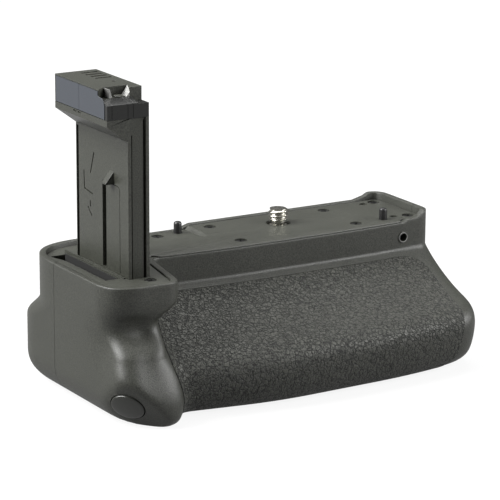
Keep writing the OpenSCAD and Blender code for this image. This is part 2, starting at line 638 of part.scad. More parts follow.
// Battery chamber: a sleeve with ears for the bottom screws
latch_slot_x = tray_end - 3.4;
module battery_chamber() color("#262726") {
  difference() {
    union() {
      along_x(chamber_left - chamber_wall, tray_end - chamber_left + chamber_wall - 0.2)
        cover_outline(0);
      for (p = bottom_screw_at) {
        translate([p[0], p[1], chamber_z]) cylinder(r = 2.9, h = 6);
        if (p[0] < chamber_left) translate([p[0], p[1] - 1.5, chamber_z]) cube([chamber_left - p[0], 3, 4]);
        else translate([p[0] - 1.5, p[1] - 1.5, chamber_z]) cube([3, chamber_front - p[1] + 2, 4]);
      }
      for (i = [0.5 : 3.5]) translate([lerp(chamber_left, tray_end, i / 4), chamber_front + 3,
                                      chamber_z + cover_height - bite])
        cube([1.6, cover_width - 6, 1.2 + bite]);
    }
    translate([chamber_left, tray_y - chamber_in_width / 2, chamber_z + chamber_wall])
      cube([tray_end - chamber_left + 1, chamber_in_width, chamber_in_height]);
    translate([keeper_x + 3, tray_y - keeper_half + 4, chamber_z + cover_height - chamber_wall - 1])
      cube([tray_end - keeper_x, 2 * keeper_half - 8, chamber_wall + 3]);
    for (p = bottom_screw_at) translate([p[0], p[1], chamber_z - 1]) cylinder(r = 0.95, h = 8);
    for (y = contact_y) translate([chamber_left - chamber_wall - 1, tray_y + y - 1.4, tray_z + 5])
      cube([chamber_wall + 2, 2.8, 8]);
  }
}
// Plate over the chamber's mouth, with the slot that the lock's tongue turns up into
keeper_x = latch_slot_x - 4;
keeper_half = 16;
module latch_keeper() color(steel) {
  difference() {
    translate([keeper_x, tray_y - keeper_half, chamber_z + cover_height])
      cube([tray_end - 0.2 - keeper_x, 2 * keeper_half, 1]);
    translate([latch_slot_x - 0.3, tray_y - 3.4, chamber_z + cover_height - 1]) cube([2.3, 12, 3]);
  }
}
contact_y = [-9, -3, 3, 9];
module chamber_contacts() color(gold) {
  for (y = contact_y) translate([0, tray_y + y - 1.1, 0]) {
    translate([chamber_left - 0.8, 0, tray_z + 5.2]) cube([0.5, 2.2, 7.6]);
    translate([chamber_left + 0.1, 1.1, tray_z + 9]) rotate([90, 0, 0])
      translate([0, 0, -1.1]) cylinder(r = 2.2, h = 2.2);
  }
}

// Tray with two bays, its contacts, end cover and lock
bay_length = cell_length + cell_play;
function bay_x(i) = tray_end - tray_lip - (i + 1) * (bay_length + tray_wall);
module battery_tray() color("#2b2c2b") {
  difference() {
    translate([tray_end - tray_length, tray_y - tray_width / 2, tray_z])
      cube([tray_length, tray_width, tray_height]);
    for (i = [0, 1]) {
      translate([bay_x(i), tray_y - tray_width / 2 + tray_wall, tray_z + tray_wall])
        cube([bay_length, cell_width + cell_play, tray_height]);
      translate([bay_x(i) + bay_length / 2, tray_y + tray_width, tray_z + tray_height])
        rotate([90, 0, 0]) cylinder(r = 7, h = 2 * tray_width);
      translate([bay_x(i) + bay_length / 2, tray_y, tray_z - 1]) cylinder(r = 6, h = 4);
      for (y = contact_y) translate([bay_x(i) - 0.5, tray_y + y - 1.2, tray_z + tray_wall])
        cube([1, 2.4, tray_height]);
    }
    translate([tray_end - tray_lip, tray_y - tray_width / 2 + tray_wall, tray_z + tray_wall])
      cube([tray_lip + 1, tray_width - 2 * tray_wall, tray_height]);
    for (y = contact_y) translate([tray_end - tray_length - 1, tray_y + y - 1.2, tray_z + 4])
      cube([1.6, 2.4, tray_height]);
  }
}
module tray_contacts() color(gold) {
  for (i = [0, 1]) for (y = contact_y)
    translate([bay_x(i) - 0.4, tray_y + y - 1.1, tray_z + tray_wall + 1.2]) cube([0.8, 2.2, 9]);
  for (y = contact_y) translate([tray_end - tray_length + 0.1, tray_y + y - 1.1, tray_z + 4.6])
    cube([0.45, 2.2, 8.6]);
}
knob_r = 6.4;
shaft_r = 1.4;
module tray_cover() color(plastic) {
  difference() {
    along_x(tray_end, cover_thick) cover_outline(0);
    translate([tray_end + cover_thick - 2, tray_y, lock_z]) rotate([0, 90, 0]) cylinder(r = knob_r + 0.1, h = 4);
    translate([tray_end - 1, tray_y, lock_z]) rotate([0, 90, 0]) cylinder(r = 2 + fit_gap, h = 6);
    for (z = [3, 4.6, 6.2]) translate([cover_face - 0.5, tray_y + 11, chamber_z + z + 3])
      cube([2, 6, 0.8]);
  }
}
module lock_knob() color("#333432") {
  x0 = cover_face - 1.9;
  difference() {
    union() {
      translate([x0, tray_y, lock_z]) rotate([0, 90, 0]) cylinder(r = knob_r, h = 1.8);
      translate([tray_end - 1.2, tray_y, lock_z]) rotate([0, 90, 0]) cylinder(r = 2, h = 4);
      translate([latch_slot_x - 0.2, tray_y, lock_z]) rotate([0, 90, 0]) cylinder(r = shaft_r, h = 4);
    }
    difference() {
      translate([x0 + 0.9, tray_y, lock_z]) rotate([0, 90, 0]) cylinder(r = knob_r - 0.9, h = 4);
      translate([x0, tray_y - knob_r, lock_z - 1.1]) cube([4, 2 * knob_r, 2.2]);
    }
  }
}
module lock_tongue() color(steel) {
  difference() {
    union() {
      translate([latch_slot_x, tray_y, lock_z]) rotate([0, 90, 0]) cylinder(r = 3.6, h = 1.6);
      translate([latch_slot_x, tray_y, lock_z - 2.4]) cube([1.6, 10.4, 4.8]);
    }
    translate([latch_slot_x - 1, tray_y, lock_z]) rotate([0, 90, 0]) cylinder(r = shaft_r + 0.02, h = 4);
  }
}

// Release button, the plunger that it pushes and the switch behind it
switch_top = 3.6 - switch_depth;
stem_low = switch_top + button_travel + 0.8;
module shutter_button() color("#303130") at_button() {
  rotate_extrude() polygon([[0, stem_low], [1.6, stem_low], [1.6, -wall - 1.1], [button_d / 2 + 0.8, -wall - 1.1],
    [button_d / 2 + 0.8, -wall - 0.1], [button_d / 2, -wall - 0.1], [button_d / 2, 0.2],
    [button_d / 2 - 0.4, 0.5], [button_d / 4, 0.72], [0, 0.8]]);
}
module switch_plunger() color("#8a2c28") at_button() {
  translate([0, 0, switch_top - 0.6]) cylinder(r = 1.2, h = stem_low - 0.05 - switch_top + 0.6);
}
module shutter_switch() color("#1b1b1c") at_button() {
  difference() {
    union() {
      translate([-3, -3, switch_top - 4]) cube([6, 6, 4]);
      translate([0, 0, -switch_depth - 1.1]) cylinder(r = boss_r - 0.1, h = 1.05);
    }
    translate([0, 0, switch_top - button_travel - 1.6]) cylinder(r = 1.2 + fit_gap, h = button_travel + 3);
  }
}

module tripod_bush() color("#b08d3e") {
  translate([bush_at[0], bush_at[1], base_z]) difference() {
    cylinder(r = bush_r - 0.01, h = 7.4);
    translate([0, 0, -1]) cylinder(r = bush_bore_d / 2, h = 7.6);
  }
}
module bottom_screws() color(steel) {
  for (p = bottom_screw_at) translate([p[0], p[1], base_z + 0.25]) {
    cylinder(r = 2, h = 0.7);
    cylinder(r = 0.9, h = 6.5);
  }
}

front_shell();
rear_shell();
grip_skin();
thumb_pad();
top_deck();
tower_core();
tower_cover();
tower_head();
contact_block();
tower_contacts();
head_label();
door_latch();
deck_screws();
locating_pins();
attachment_screw();
tightening_wheel();
wheel_bracket();
screw_clip();
jack_socket();
circuit_board();
battery_chamber();
latch_keeper();
chamber_contacts();
battery_tray();
tray_contacts();
tray_cover();
lock_knob();
lock_tongue();
shutter_button();
switch_plunger();
shutter_switch();
tripod_bush();
bottom_screws();
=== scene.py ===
# %% [markdown]
# # Camera battery grip
# This lesson dresses a CAD model of a battery grip: a moulded body with a rubber skin, a deck that a camera
# stands on, a tower that fills the camera's battery well, a clamping screw and a button. The CAD model is
# loaded first and stays where it is. Every new piece is made in the same frame, in metres.

import json
import math

import bpy
from mathutils import Matrix, Vector


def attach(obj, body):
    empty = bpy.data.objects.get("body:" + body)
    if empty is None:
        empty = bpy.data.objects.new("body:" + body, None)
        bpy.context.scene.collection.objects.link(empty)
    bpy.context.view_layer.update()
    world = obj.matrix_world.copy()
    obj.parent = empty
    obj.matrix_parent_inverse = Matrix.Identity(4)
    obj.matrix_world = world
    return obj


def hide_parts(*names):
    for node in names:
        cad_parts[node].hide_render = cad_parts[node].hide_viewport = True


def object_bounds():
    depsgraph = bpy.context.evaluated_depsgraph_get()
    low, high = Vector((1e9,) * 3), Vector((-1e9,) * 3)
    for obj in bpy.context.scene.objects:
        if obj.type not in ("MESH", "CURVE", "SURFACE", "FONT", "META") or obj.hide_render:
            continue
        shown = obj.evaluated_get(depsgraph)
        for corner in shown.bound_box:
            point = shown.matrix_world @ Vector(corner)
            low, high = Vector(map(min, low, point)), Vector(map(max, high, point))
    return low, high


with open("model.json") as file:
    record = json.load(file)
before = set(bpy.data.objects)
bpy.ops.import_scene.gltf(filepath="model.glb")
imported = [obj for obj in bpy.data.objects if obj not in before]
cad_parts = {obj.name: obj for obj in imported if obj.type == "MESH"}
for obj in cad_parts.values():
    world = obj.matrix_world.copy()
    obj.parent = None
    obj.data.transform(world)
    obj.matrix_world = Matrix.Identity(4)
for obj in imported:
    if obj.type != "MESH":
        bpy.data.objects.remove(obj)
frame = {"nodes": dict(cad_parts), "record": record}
cad_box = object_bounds()
MM = 0.001

# %% [markdown]
# ## Small helpers
# Operators act on whatever is selected. So each step first lets go of everything and then takes hold of one
# piece. Sizes are in millimetres and are scaled as they are used.

# %% Take, select and settle
def let_go():
    if bpy.context.object and bpy.context.object.mode != "OBJECT":
        bpy.ops.object.mode_set(mode="OBJECT")
    bpy.ops.object.select_all(action="DESELECT")


def take(*pieces):
    let_go()
    for piece in pieces:
        piece.select_set(True)
    bpy.context.view_layer.objects.active = pieces[0]
    return pieces[0]


def christen(name):
    piece = bpy.context.object
    piece.name = name
    piece.data.name = name
    return piece


def new_object(name, data):
    found = bpy.data.objects.new(name, data)
    bpy.context.collection.objects.link(found)
    return found


def settle(piece):
    """Puts the piece's place into its mesh, so that its object sits at the origin."""
    take(piece)
    bpy.ops.object.transform_apply(location=True, rotation=True, scale=True)
    return piece


def unmark(mesh):
    for group in (mesh.vertices, mesh.edges, mesh.polygons):
        group.foreach_set("select", [False] * len(group))


def pick_edges(piece, test):
    """Goes into edit mode with only those edges selected whose two ends pass the test."""
    take(piece)
    mesh = piece.data
    unmark(mesh)
    for e in mesh.edges:
        e.select = test(*(mesh.vertices[i].co / MM for i in e.vertices))
    bpy.ops.object.mode_set(mode="EDIT")
    bpy.context.tool_settings.mesh_select_mode = (False, True, False)
    return piece


def edit_all(piece):
    take(piece)
    bpy.ops.object.mode_set(mode="EDIT")
    bpy.ops.mesh.select_all(action="SELECT")
    return piece


def tidy(piece, angle=32, merge=0.002):
    """Merges doubles, turns faces outwards and shades the piece smooth up to an angle."""
    edit_all(piece)
    bpy.ops.mesh.remove_doubles(threshold=merge * MM)
    bpy.ops.mesh.normals_make_consistent(inside=False)
    take(piece)
    bpy.ops.object.shade_smooth_by_angle(angle=math.radians(angle))
    return piece


def finish_with(piece, kind, **settings):
    """Adds one modifier and applies it."""
    take(piece)
    modifier = piece.modifiers.new(kind.lower(), kind)
    for key, value in settings.items():
        setattr(modifier, key, value)
    bpy.ops.object.modifier_apply(modifier=modifier.name)
    return piece


def cut(piece, *cutters, operation="DIFFERENCE"):
    """Cuts pieces out of another one and throws the cutters away."""
    for cutter in cutters:
        finish_with(piece, "BOOLEAN", operation=operation, solver="EXACT", object=cutter)
        bpy.data.objects.remove(cutter)
    return piece


def join(name, *pieces):
    take(*pieces)
    bpy.ops.object.join()
    return christen(name)

# %% [markdown]
# Boxes, rods and turned pieces are the stock that most parts start from. A rod is a cylinder along any
# direction; a turned piece is a closed outline that is spun round an axis, like work on a lathe.

# %% Stock shapes
UP = (0, 0, 1)


def block(name, low, high, ease=0.0):
    let_go()
    middle = [(a + b) / 2 * MM for a, b in zip(low, high)]
    size = [(b - a) * MM for a, b in zip(low, high)]
    bpy.ops.mesh.primitive_cube_add(size=1, location=middle, scale=size)
    piece = settle(christen(name))
    if ease:
        edit_all(piece)
        bpy.ops.mesh.bevel(offset=ease * MM, segments=2, affect="EDGES")
        let_go()
    return piece


def along(piece, at, axis, turn=0.0):
    """Turns a piece made round +Z so that it points along an axis, and moves its base to a place."""
    spin = Vector(axis).to_track_quat("Z", "Y").to_matrix().to_4x4() @ Matrix.Rotation(turn, 4, "Z")
    piece.data.transform(Matrix.Translation(Vector(at) * MM) @ spin)
    return piece


def rod(name, at, axis, radius, length, sides=48):
    let_go()
    bpy.ops.mesh.primitive_cylinder_add(vertices=sides, radius=radius * MM, depth=length * MM,
                                        location=(0, 0, length / 2 * MM))
    return along(settle(christen(name)), at, axis)


def turned(name, outline, at=(0, 0, 0), axis=UP, steps=64):
    """Spins a closed outline of (radius, height) points round the axis."""
    let_go()
    bpy.ops.mesh.primitive_circle_add(vertices=len(outline), radius=MM)
    piece = christen(name)
    for v, (r, h) in zip(piece.data.vertices, outline):
        v.co = Vector((r, 0, h)) * MM
    edit_all(piece)
    bpy.ops.mesh.spin(steps=steps, angle=math.tau, center=(0, 0, 0), axis=UP)
    tidy(piece)
    return along(piece, at, axis)


def net(name, rows):
    """A sheet of quads whose corners are put on the given rows of points."""
    let_go()
    m, n = len(rows), len(rows[0])
    bpy.ops.mesh.primitive_grid_add(x_subdivisions=n - 1, y_subdivisions=m - 1, size=MM)
    piece = christen(name)
    assert len(piece.data.vertices) == m * n, (len(piece.data.vertices), m, n)
    flat = [c * MM for row in rows for p in row for c in p]
    piece.data.vertices.foreach_set("co", flat)
    piece.data.update()
    return piece


def close_faces(piece, *chains):
    """Fills a face along each chain of corner numbers."""
    for chain in chains:
        take(piece)
        mesh = piece.data
        unmark(mesh)
        for v in set(chain):
            mesh.vertices[v].select = True
        bpy.ops.object.mode_set(mode="EDIT")
        bpy.context.tool_settings.mesh_select_mode = (True, False, False)
        bpy.ops.mesh.edge_face_add()
    let_go()
    return piece

# %% [markdown]
# ## The moulded body
# The body swells from a straight wall under the deck into a hand bulge in front, and its left end carries a
# button on a slanted face. No primitive has that shape, so it is lofted: a closed outline with rounded
# corners is drawn for each height, and a net of quads is laid over all of them. The outlines are those of the
# CAD shells, three times finer. Only the finger hollow, the rim, the sharpness of the slanted face and the
# skin's border follow the photograph more closely than the CAD does.

# %% Sizes of the body, in millimetres
LEFT, RIGHT, REAR, WALL_Y = 85.4, 47.3, 13.3, 19.2
BASE = -42.3
THICK = 2.1
SEAM = -9.5
SEAM_GAP = 0.16
LEDGE, BULGE_TOP, BULGE_FULL = -9.3, -21.8, -29.5
BULGE, BULGE_END, REAR_BULGE = 55.5, 48.2, 19.0
LOBE, FOOT = 46.6, 55.5
RIM = 2.3
DECK_LOW, DECK_UNDER, STEP = -1.1, -2.9, -27.0
ARC = 5


def mix(a, b, t):
    return a + (b - a) * t


def smooth(t):
    t = min(1.0, max(0.0, t))
    return t * t * (3 - 2 * t)


def bend3(a, b, c, t):
    return mix(mix(a, b, t), mix(b, c, t), t)


def bend4(a, b, c, d, t):
    return mix(bend3(a, b, c, t), bend3(b, c, d, t), t)


def toe(z, r):
    return 0.0 if z >= BASE + r else r - math.sqrt(max(0.0, r * r - (BASE + r - z) ** 2))

# %% [markdown]
# A height is given by a row number, a place along the outline by a column number. Both may be fractions,
# which is what makes any fineness possible.

# %% Rows and columns of the loft
LEVELS = [Vector((0, 0)), Vector((DECK_UNDER, 0)), Vector((-5.4, 0)), Vector((-7.4, 0)), Vector((LEDGE, 0))]
BENDS = [
    (7, [(LEDGE, 0), (-12.8, 0.12), (-18.4, 0.42), (BULGE_TOP, 0.78)]),
    (4, [(BULGE_TOP, 0.78), (-23.4, 0.94), (-25.6, 1), (BULGE_FULL, 1)]),
    (7, [(BULGE_FULL, 1), (-37, 1), (BASE, 0.87), (BASE, 0.69)]),
]


def level_at(v):
    """Height and swelling at a row number from 0, the rim, to 22, the bottom."""
    if v <= 4:
        i = min(3, int(v))
        return mix(LEVELS[i], LEVELS[i + 1], v - i)
    v -= 4
    for count, points in BENDS:
        if v <= count or points[-1][0] == BASE:
            return bend4(*(Vector(p) for p in points), min(1.0, v / count))
        v -= count


def corners_of(*rows):
    """Corners with their place, the radius that rounds them, and the steps from each to the next."""
    return [(Vector((x, y)), radius, steps) for x, y, radius, steps in rows]


def front_corners(z, f):
    s = smooth((-z - 6) / 38.3)
    neck = smooth((-z - 5.5) / 7)
    shelf = smooth((-z - 12) / 9)
    low = smooth((-z - 20) / 16)
    x0, x1 = -LEFT + toe(z, 10), RIGHT - toe(z, 5)
    foot = -mix(LOBE, FOOT, 0.6 * shelf + 0.4 * low) + toe(z, 5)
    return corners_of(
        (x0, SEAM, 0, 4),
        (x0, foot, 11 - 2 * neck - 2.5 * shelf, 4),
        (-62 - 8 * neck + 4 * low, foot, 4.5 + 1.5 * s, 4),
        (-56.6 - 8.4 * smooth((-z - 10) / 15) + 2.6 * low, -mix(WALL_Y - 2, BULGE - 6, f), mix(3.5, 5, s), 4),
        (-30, -mix(WALL_Y, BULGE, f), 12, 4),
        (18, -mix(WALL_Y, BULGE - 2, f), 12, 4),
        (x1, -mix(WALL_Y - 1.8, BULGE_END, f), mix(5, 11, s), 3),
        (x1, SEAM, 0, 0))


def rear_corners(z):
    g = smooth((-z - 13) / 8)
    x0, x1 = -LEFT + toe(z, 10), RIGHT - toe(z, 5)
    y = mix(REAR, REAR_BULGE, g) - toe(z, 7)
    return corners_of((x1, SEAM, 0, 3), (x1, y, mix(6, 4.5, g), 8), (x0, y, mix(20, 15, g), 3), (x0, SEAM, 0, 0))


def outline_at(corners, u):
    """The point at column u of an outline with rounded corners."""
    last = len(corners) - 1

    def reach(i, k):
        run = corners[k][0] - corners[i][0]
        return min(corners[i][1], run.length * (0.92 if corners[k][1] == 0 else 0.47)) * run.normalized()

    for i in range(last):
        a = corners[i][0] + (reach(i, i + 1) if i else Vector((0, 0)))
        b = corners[i + 1][0] + (reach(i + 1, i) if i < last - 1 else Vector((0, 0)))
        steps = corners[i][2]
        if u <= steps or i == last - 1:
            return mix(a, b, min(1.0, u / steps))
        u -= steps
        if u < ARC:
            return bend3(b, corners[i + 1][0], corners[i + 1][0] + reach(i + 1, i + 2), u / ARC)
        u -= ARC

# %% [markdown]
# The slanted face under the button shaves the corner of the foot, and a finger hollow dents it higher up.
# The rim climbs at the right end, where the cover of the cell tray sits.

# %% Points on the outside of the body
TILT, TURN, FACET_SOFT = math.radians(124.4), math.radians(-139.9), 0.6
FACET = Vector((math.sin(TILT) * math.cos(TURN), math.sin(TILT) * math.sin(TURN), math.cos(TILT)))
BUTTON = Vector((4.9 - LEFT, 8.2 - FOOT, BASE + 6.8))
FACET_REACH = FACET.dot(BUTTON)
HOLLOW, HOLLOW_R, HOLLOW_DEPTH = Vector((5.9 - LEFT, -0.4 - LOBE, -16.5)), 12.0, 5.2


def facet_cut(p):
    e = (p.dot(FACET) - FACET_REACH) / FACET_SOFT
    over = FACET_SOFT * (e if e > 20 else math.log(1 + math.exp(e)))
    flat = Vector((FACET.x, FACET.y, 0))
    return p - flat.normalized() * over / flat.length


def finger_hollow(p):
    q = p - HOLLOW
    e = Vector((q.x, q.y, q.z * 1.15)).length / HOLLOW_R
    return p + Vector((0.6, 0.8, 0)) * HOLLOW_DEPTH * math.exp(-1.5 * e * e) * smooth((-p.z - 4) / 7)


def deck_level(x, y):
    """Height of the deck's top: left of the step it sinks towards the rear."""
    low = DECK_LOW * smooth((y + 10) / 14)
    return low * (1 - min(1, max(0, (x - STEP - DECK_LOW) / -DECK_LOW)))


def overhang(x):
    """1 where the deck runs out over the top of the front wall, 0 where it stays inside the rim."""
    return smooth((x + 54.4) / 1.6) * (1 - smooth((x - 35) / 1.6))


def front_rim(x):
    open_wall = smooth((x + 56.6) / 2) * (1 - smooth((x - 36.8) / 1.4))
    return mix(mix(0.3, RIM, smooth((x - RIGHT + 6.4) / 5.6)), -0.5, open_wall)


def rear_rim(x):
    low = mix(0.3, DECK_LOW, smooth((x + 60) / 3))
    return low if x < STEP else mix(0.3, RIM, smooth((x - RIGHT + 9) / 4.5))


def front_point(v, u):
    z, f = level_at(v)
    q = outline_at(front_corners(z, f), u)
    if v < 1:
        z = mix(front_rim(q.x), DECK_UNDER, v)
    q = finger_hollow(facet_cut(Vector((q.x, q.y, z))))
    q.y = max(q.y, cad_box[0][1] / MM + SEAM_GAP / 2)
    return q


def rear_point(v, u):
    z = level_at(v)[0]
    q = outline_at(rear_corners(z), u)
    if v < 1:
        z = mix(rear_rim(q.x), DECK_UNDER, v)
    return Vector((q.x, q.y, z))


FRONT_COLS, REAR_COLS, ROWS = 57, 24, 22
FINENESS, BORDER = 1 / 3, 0.02


def outward(point, v, u, cols):
    """The outward normal of a surface at a row and a column."""
    a = point(v, min(u + 0.05, cols)) - point(v, max(u - 0.05, 0))
    b = point(min(v + 0.05, ROWS), u) - point(max(v - 0.05, 0), u)
    return b.cross(a).normalized()


print("button at", tuple(round(c, 1) for c in BUTTON), "face normal", tuple(round(c, 3) for c in FACET))

# %% [markdown]
# The rubber lies in a shallow pocket. Its border is a rectangle in rows and columns, and near each corner the
# net is pulled towards a circle. Shell and skin use the same pull, so the gap between them stays even.

# %% Pockets for the rubber
def fine(low, high, step):
    count = max(1, round((high - low) / step))
    return [mix(low, high, i / count) for i in range(count + 1)]


class Pocket:
    def __init__(self, rows, cols, corners):
        self.rows, self.cols, self.corners = rows, cols, corners

    def pull(self, v, u):
        """Rounds the border: square rings round each corner's centre become circles."""
        for i, (rv, ru) in enumerate(self.corners):
            down, across = 1 - i // 2 * 2, 1 - i % 2 * 2
            cv, cu = self.rows[i // 2] + rv * down, self.cols[i % 2] + ru * across
            a, b = (cv - v) / rv * down, (cu - u) / ru * across
            if 0 < a < 2 and 0 < b < 2:
                m = max(a, b)
                k = mix(1, m / math.hypot(a, b), 1 - smooth(m - 1))
                return cv - a * k * rv * down, cu - b * k * ru * across
        return v, u

    def inside(self, v, u):
        return min(v - self.rows[0], self.rows[1] - v, u - self.cols[0], self.cols[1] - u) > BORDER


def lines(low, high, borders):
    """Fine steps with a close pair of lines at each border."""
    marks = [low] + [b + s for b in borders for s in (-0.05, 0, 0.05)] + [high]
    found = []
    for a, b in zip(marks, marks[1:]):
        found += fine(a, b, FINENESS)[:-1]
    return found + [high]


GRIP = Pocket((5, 20), (20, 49), [(2.2, 2.4), (2.6, 3.2), (1.2, 1.0), (3.0, 2.6)])
THUMB = Pocket((12, 17), (8, 11), [(1.6, 1.0)] * 4)
POCKET_DEEP = 0.85

# %% [markdown]
# One net makes a whole half of the body: it climbs the outside from the bottom, turns over the rounded rim
# and goes down the inside. What is left open, the bottom inside and out and the plane where the halves meet,
# is closed with a face each.

# %% Lay the shells
def shell(name, point, cols, pocket, shift):
    columns = lines(0, cols, pocket.cols)
    outer = lines(0.35, ROWS, pocket.rows)[::-1]
    rows = []
    for v0 in outer:
        row = []
        for u0 in columns:
            v, u = pocket.pull(v0, u0) if 1 < v0 < ROWS else (v0, u0)
            p = point(v, u)
            row.append(p - outward(point, v, u, cols) * POCKET_DEEP if pocket.inside(v0, u0) else p)
        rows.append(row)
    flats = []
    for u in columns:
        n = outward(point, 1, u, cols)
        flats.append(Vector((n.x, 0 if u in (0, cols) else n.y, 0)).normalized())
    r = 0.4
    rim = [(r * (1 - math.cos(a)), r * (1 - math.sin(a))) for a in (math.radians(d) for d in (10, 30, 50, 70, 90))]
    rim += [(THICK - 0.2, 0), (THICK - 0.06, 0.06), (THICK, 0.2)]
    for inset, drop in rim:
        rows.append([point(0, u) - f * inset - Vector((0, 0, drop)) for u, f in zip(columns, flats)])
    lowest = [p.z for p in rows[-1]]
    for v in [1, 2] + fine(3, ROWS, 0.5):
        row = []
        for k, (u, f) in enumerate(zip(columns, flats)):
            p = point(v, u)
            n = outward(point, v, u, cols) if 3 <= v < ROWS else f
            if v == ROWS:
                m = outward(point, ROWS - 1, u, cols)
                n = Vector((m.x, m.y, 0)).normalized()
            q = p - n * THICK
            z = p.z if v < 3 else BASE + THICK if v == ROWS else min(q.z, lowest[k] - 0.02)
            z = max(z, BASE + THICK) if v < ROWS else z
            lowest[k] = z
            row.append(Vector((q.x, q.y, z)))
        rows.append(row)
    for row in rows:
        for k in (0, -1):
            row[k].y = SEAM
    piece = net(name, [[p + Vector((0, shift, 0)) for p in row] for row in rows])
    n, m = len(columns), len(rows)
    left = [i * n for i in range(m)]
    right = [i * n + n - 1 for i in range(m)]
    close_faces(piece, range(n), range((m - 1) * n, m * n), left + right)
    return piece


front = shell("body_front", front_point, FRONT_COLS, GRIP, -SEAM_GAP / 2)
rear = shell("body_rear", rear_point, REAR_COLS, THUMB, SEAM_GAP / 2)
for piece in (front, rear):
    tidy(piece, 50)
    print(piece.name, len(piece.data.polygons), "faces")

# %% [markdown]
# ## Finishes
# A finish is a node material. Writing its maths as Python expressions keeps it short: a small class wraps a
# socket, and adding, multiplying or subtracting two of them puts a Math node into the tree.

# %% Sockets that can be reckoned with
class Val:
    def __init__(self, finish, socket):
        self.finish, self.socket = finish, socket

    def sum(self, operation, a, b=0.0):
        return self.finish.node("ShaderNodeMath", {"operation": operation}, {0: a, 1: b}).out()

    def __add__(self, other):
        return self.sum("ADD", self, other)

    def __sub__(self, other):
        return self.sum("SUBTRACT", self, other)

    def __rsub__(self, other):
        return self.sum("SUBTRACT", other, self)

    def __mul__(self, other):
        return self.sum("MULTIPLY", self, other)

    __radd__, __rmul__ = __add__, __mul__

    def ramp(self, low, high, a=0.0, b=1.0):
        """Runs smoothly from a to b as the value goes from low to high."""
        return self.finish.node("ShaderNodeMapRange", {"interpolation_type": "SMOOTHSTEP"},
                                {"Value": self, 1: low, 2: high, 3: a, 4: b}).out()


class Step:
    """A node in a finish, with its outputs ready as values."""

    def __init__(self, finish, node):
        self.finish, self.node = finish, node

    def out(self, name=0):
        return Val(self.finish, self.node.outputs[name])


class Finish:
    def __init__(self, name, color, roughness=0.5, metallic=0.0, coat=0.0):
        self.material = bpy.data.materials.new(name)
        self.material.use_nodes = True
        self.tree = self.material.node_tree
        self.shader = self.tree.nodes["Principled BSDF"]
        self.color = color
        self.place = self.node("ShaderNodeTexCoord").out("Object")
        for socket, value in (("Base Color", (*color, 1)), ("Roughness", roughness), ("Metallic", metallic),
                              ("Coat Weight", coat), ("Coat Roughness", 0.1)):
            self.shader.inputs[socket].default_value = value

    def node(self, kind, settings=None, values=None):
        node = self.tree.nodes.new(kind)
        for key, value in (settings or {}).items():
            setattr(node, key, value)
        for key, value in (values or {}).items():
            if isinstance(value, Val):
                self.tree.links.new(value.socket, node.inputs[key])
            else:
                node.inputs[key].default_value = value
        return Step(self, node)

    def feed(self, **links):
        for socket, value in links.items():
            self.tree.links.new(value.socket, self.shader.inputs[socket.replace("_", " ")])
        return self

    def noise(self, size, detail=2.0, roughness=0.5, place=None):
        """Soft noise whose blotches are about size millimetres across."""
        return self.node("ShaderNodeTexNoise", None, {"Vector": place or self.place, "Scale": 1000 / size,
                                                      "Detail": detail, "Roughness": roughness}).out("Fac")

    def tint(self, amount, low, high):
        """A colour that runs between two multiples of the finish's own colour."""
        a, b = ((*(min(1, c * k) for c in self.color), 1) for k in (low, high))
        return self.node("ShaderNodeMix", {"data_type": "RGBA"}, {0: amount, 6: a, 7: b}).out(2)

    def bump(self, height, depth):
        """Feeds a height from 0 to 1 to the surface, as deep as the given millimetres."""
        self.feed(Normal=self.node("ShaderNodeBump", None, {"Height": height, "Distance": depth * MM}).out())
        return self

# %% [markdown]
# Moulded camera plastic leaves a spark-eroded tool: tiny pits scatter the light, so the surface is satin and
# speckled. Hands polish it unevenly, which a much larger noise gives to the roughness.

# %% Satin plastic
def satin(name, color, roughness, grain=0.5, pit=0.07, speckle=0.5):
    finish = Finish(name, color, roughness)
    fine, wide = finish.noise(grain, 3.0, 0.6), finish.noise(16, 2.0)
    finish.feed(Base_Color=finish.tint(fine.ramp(0.3, 0.72) * 0.8 + wide * 0.2, 1 - speckle, 1 + speckle),
                Roughness=(wide - 0.5) * 0.1 + (fine - 0.5) * 0.12 + roughness)
    return finish.bump(fine, pit).material


shell_satin = satin("shell_satin", (0.031, 0.0322, 0.026), 0.46, 0.34, speckle=0.7)
deck_satin = satin("deck_satin", (0.034, 0.0355, 0.0285), 0.42, 0.34, speckle=0.7)
tower_satin = satin("tower_satin", (0.034, 0.0355, 0.0285), 0.36, 0.4, 0.05, 0.6)
inner_satin = satin("inner_satin", (0.02, 0.02, 0.019), 0.55)
button_satin = satin("button_satin", (0.026, 0.027, 0.0225), 0.34, 0.25, 0.006, 0.1)

# %% [markdown]
# The rubber skin has a leather grain: flat pebbles with creases between them. A cell texture gives the
# distance to the nearest border between cells, and bending its coordinates first keeps the cells uneven.
# The creases are dented by a bump, and their colour is also darkened as painted shade.

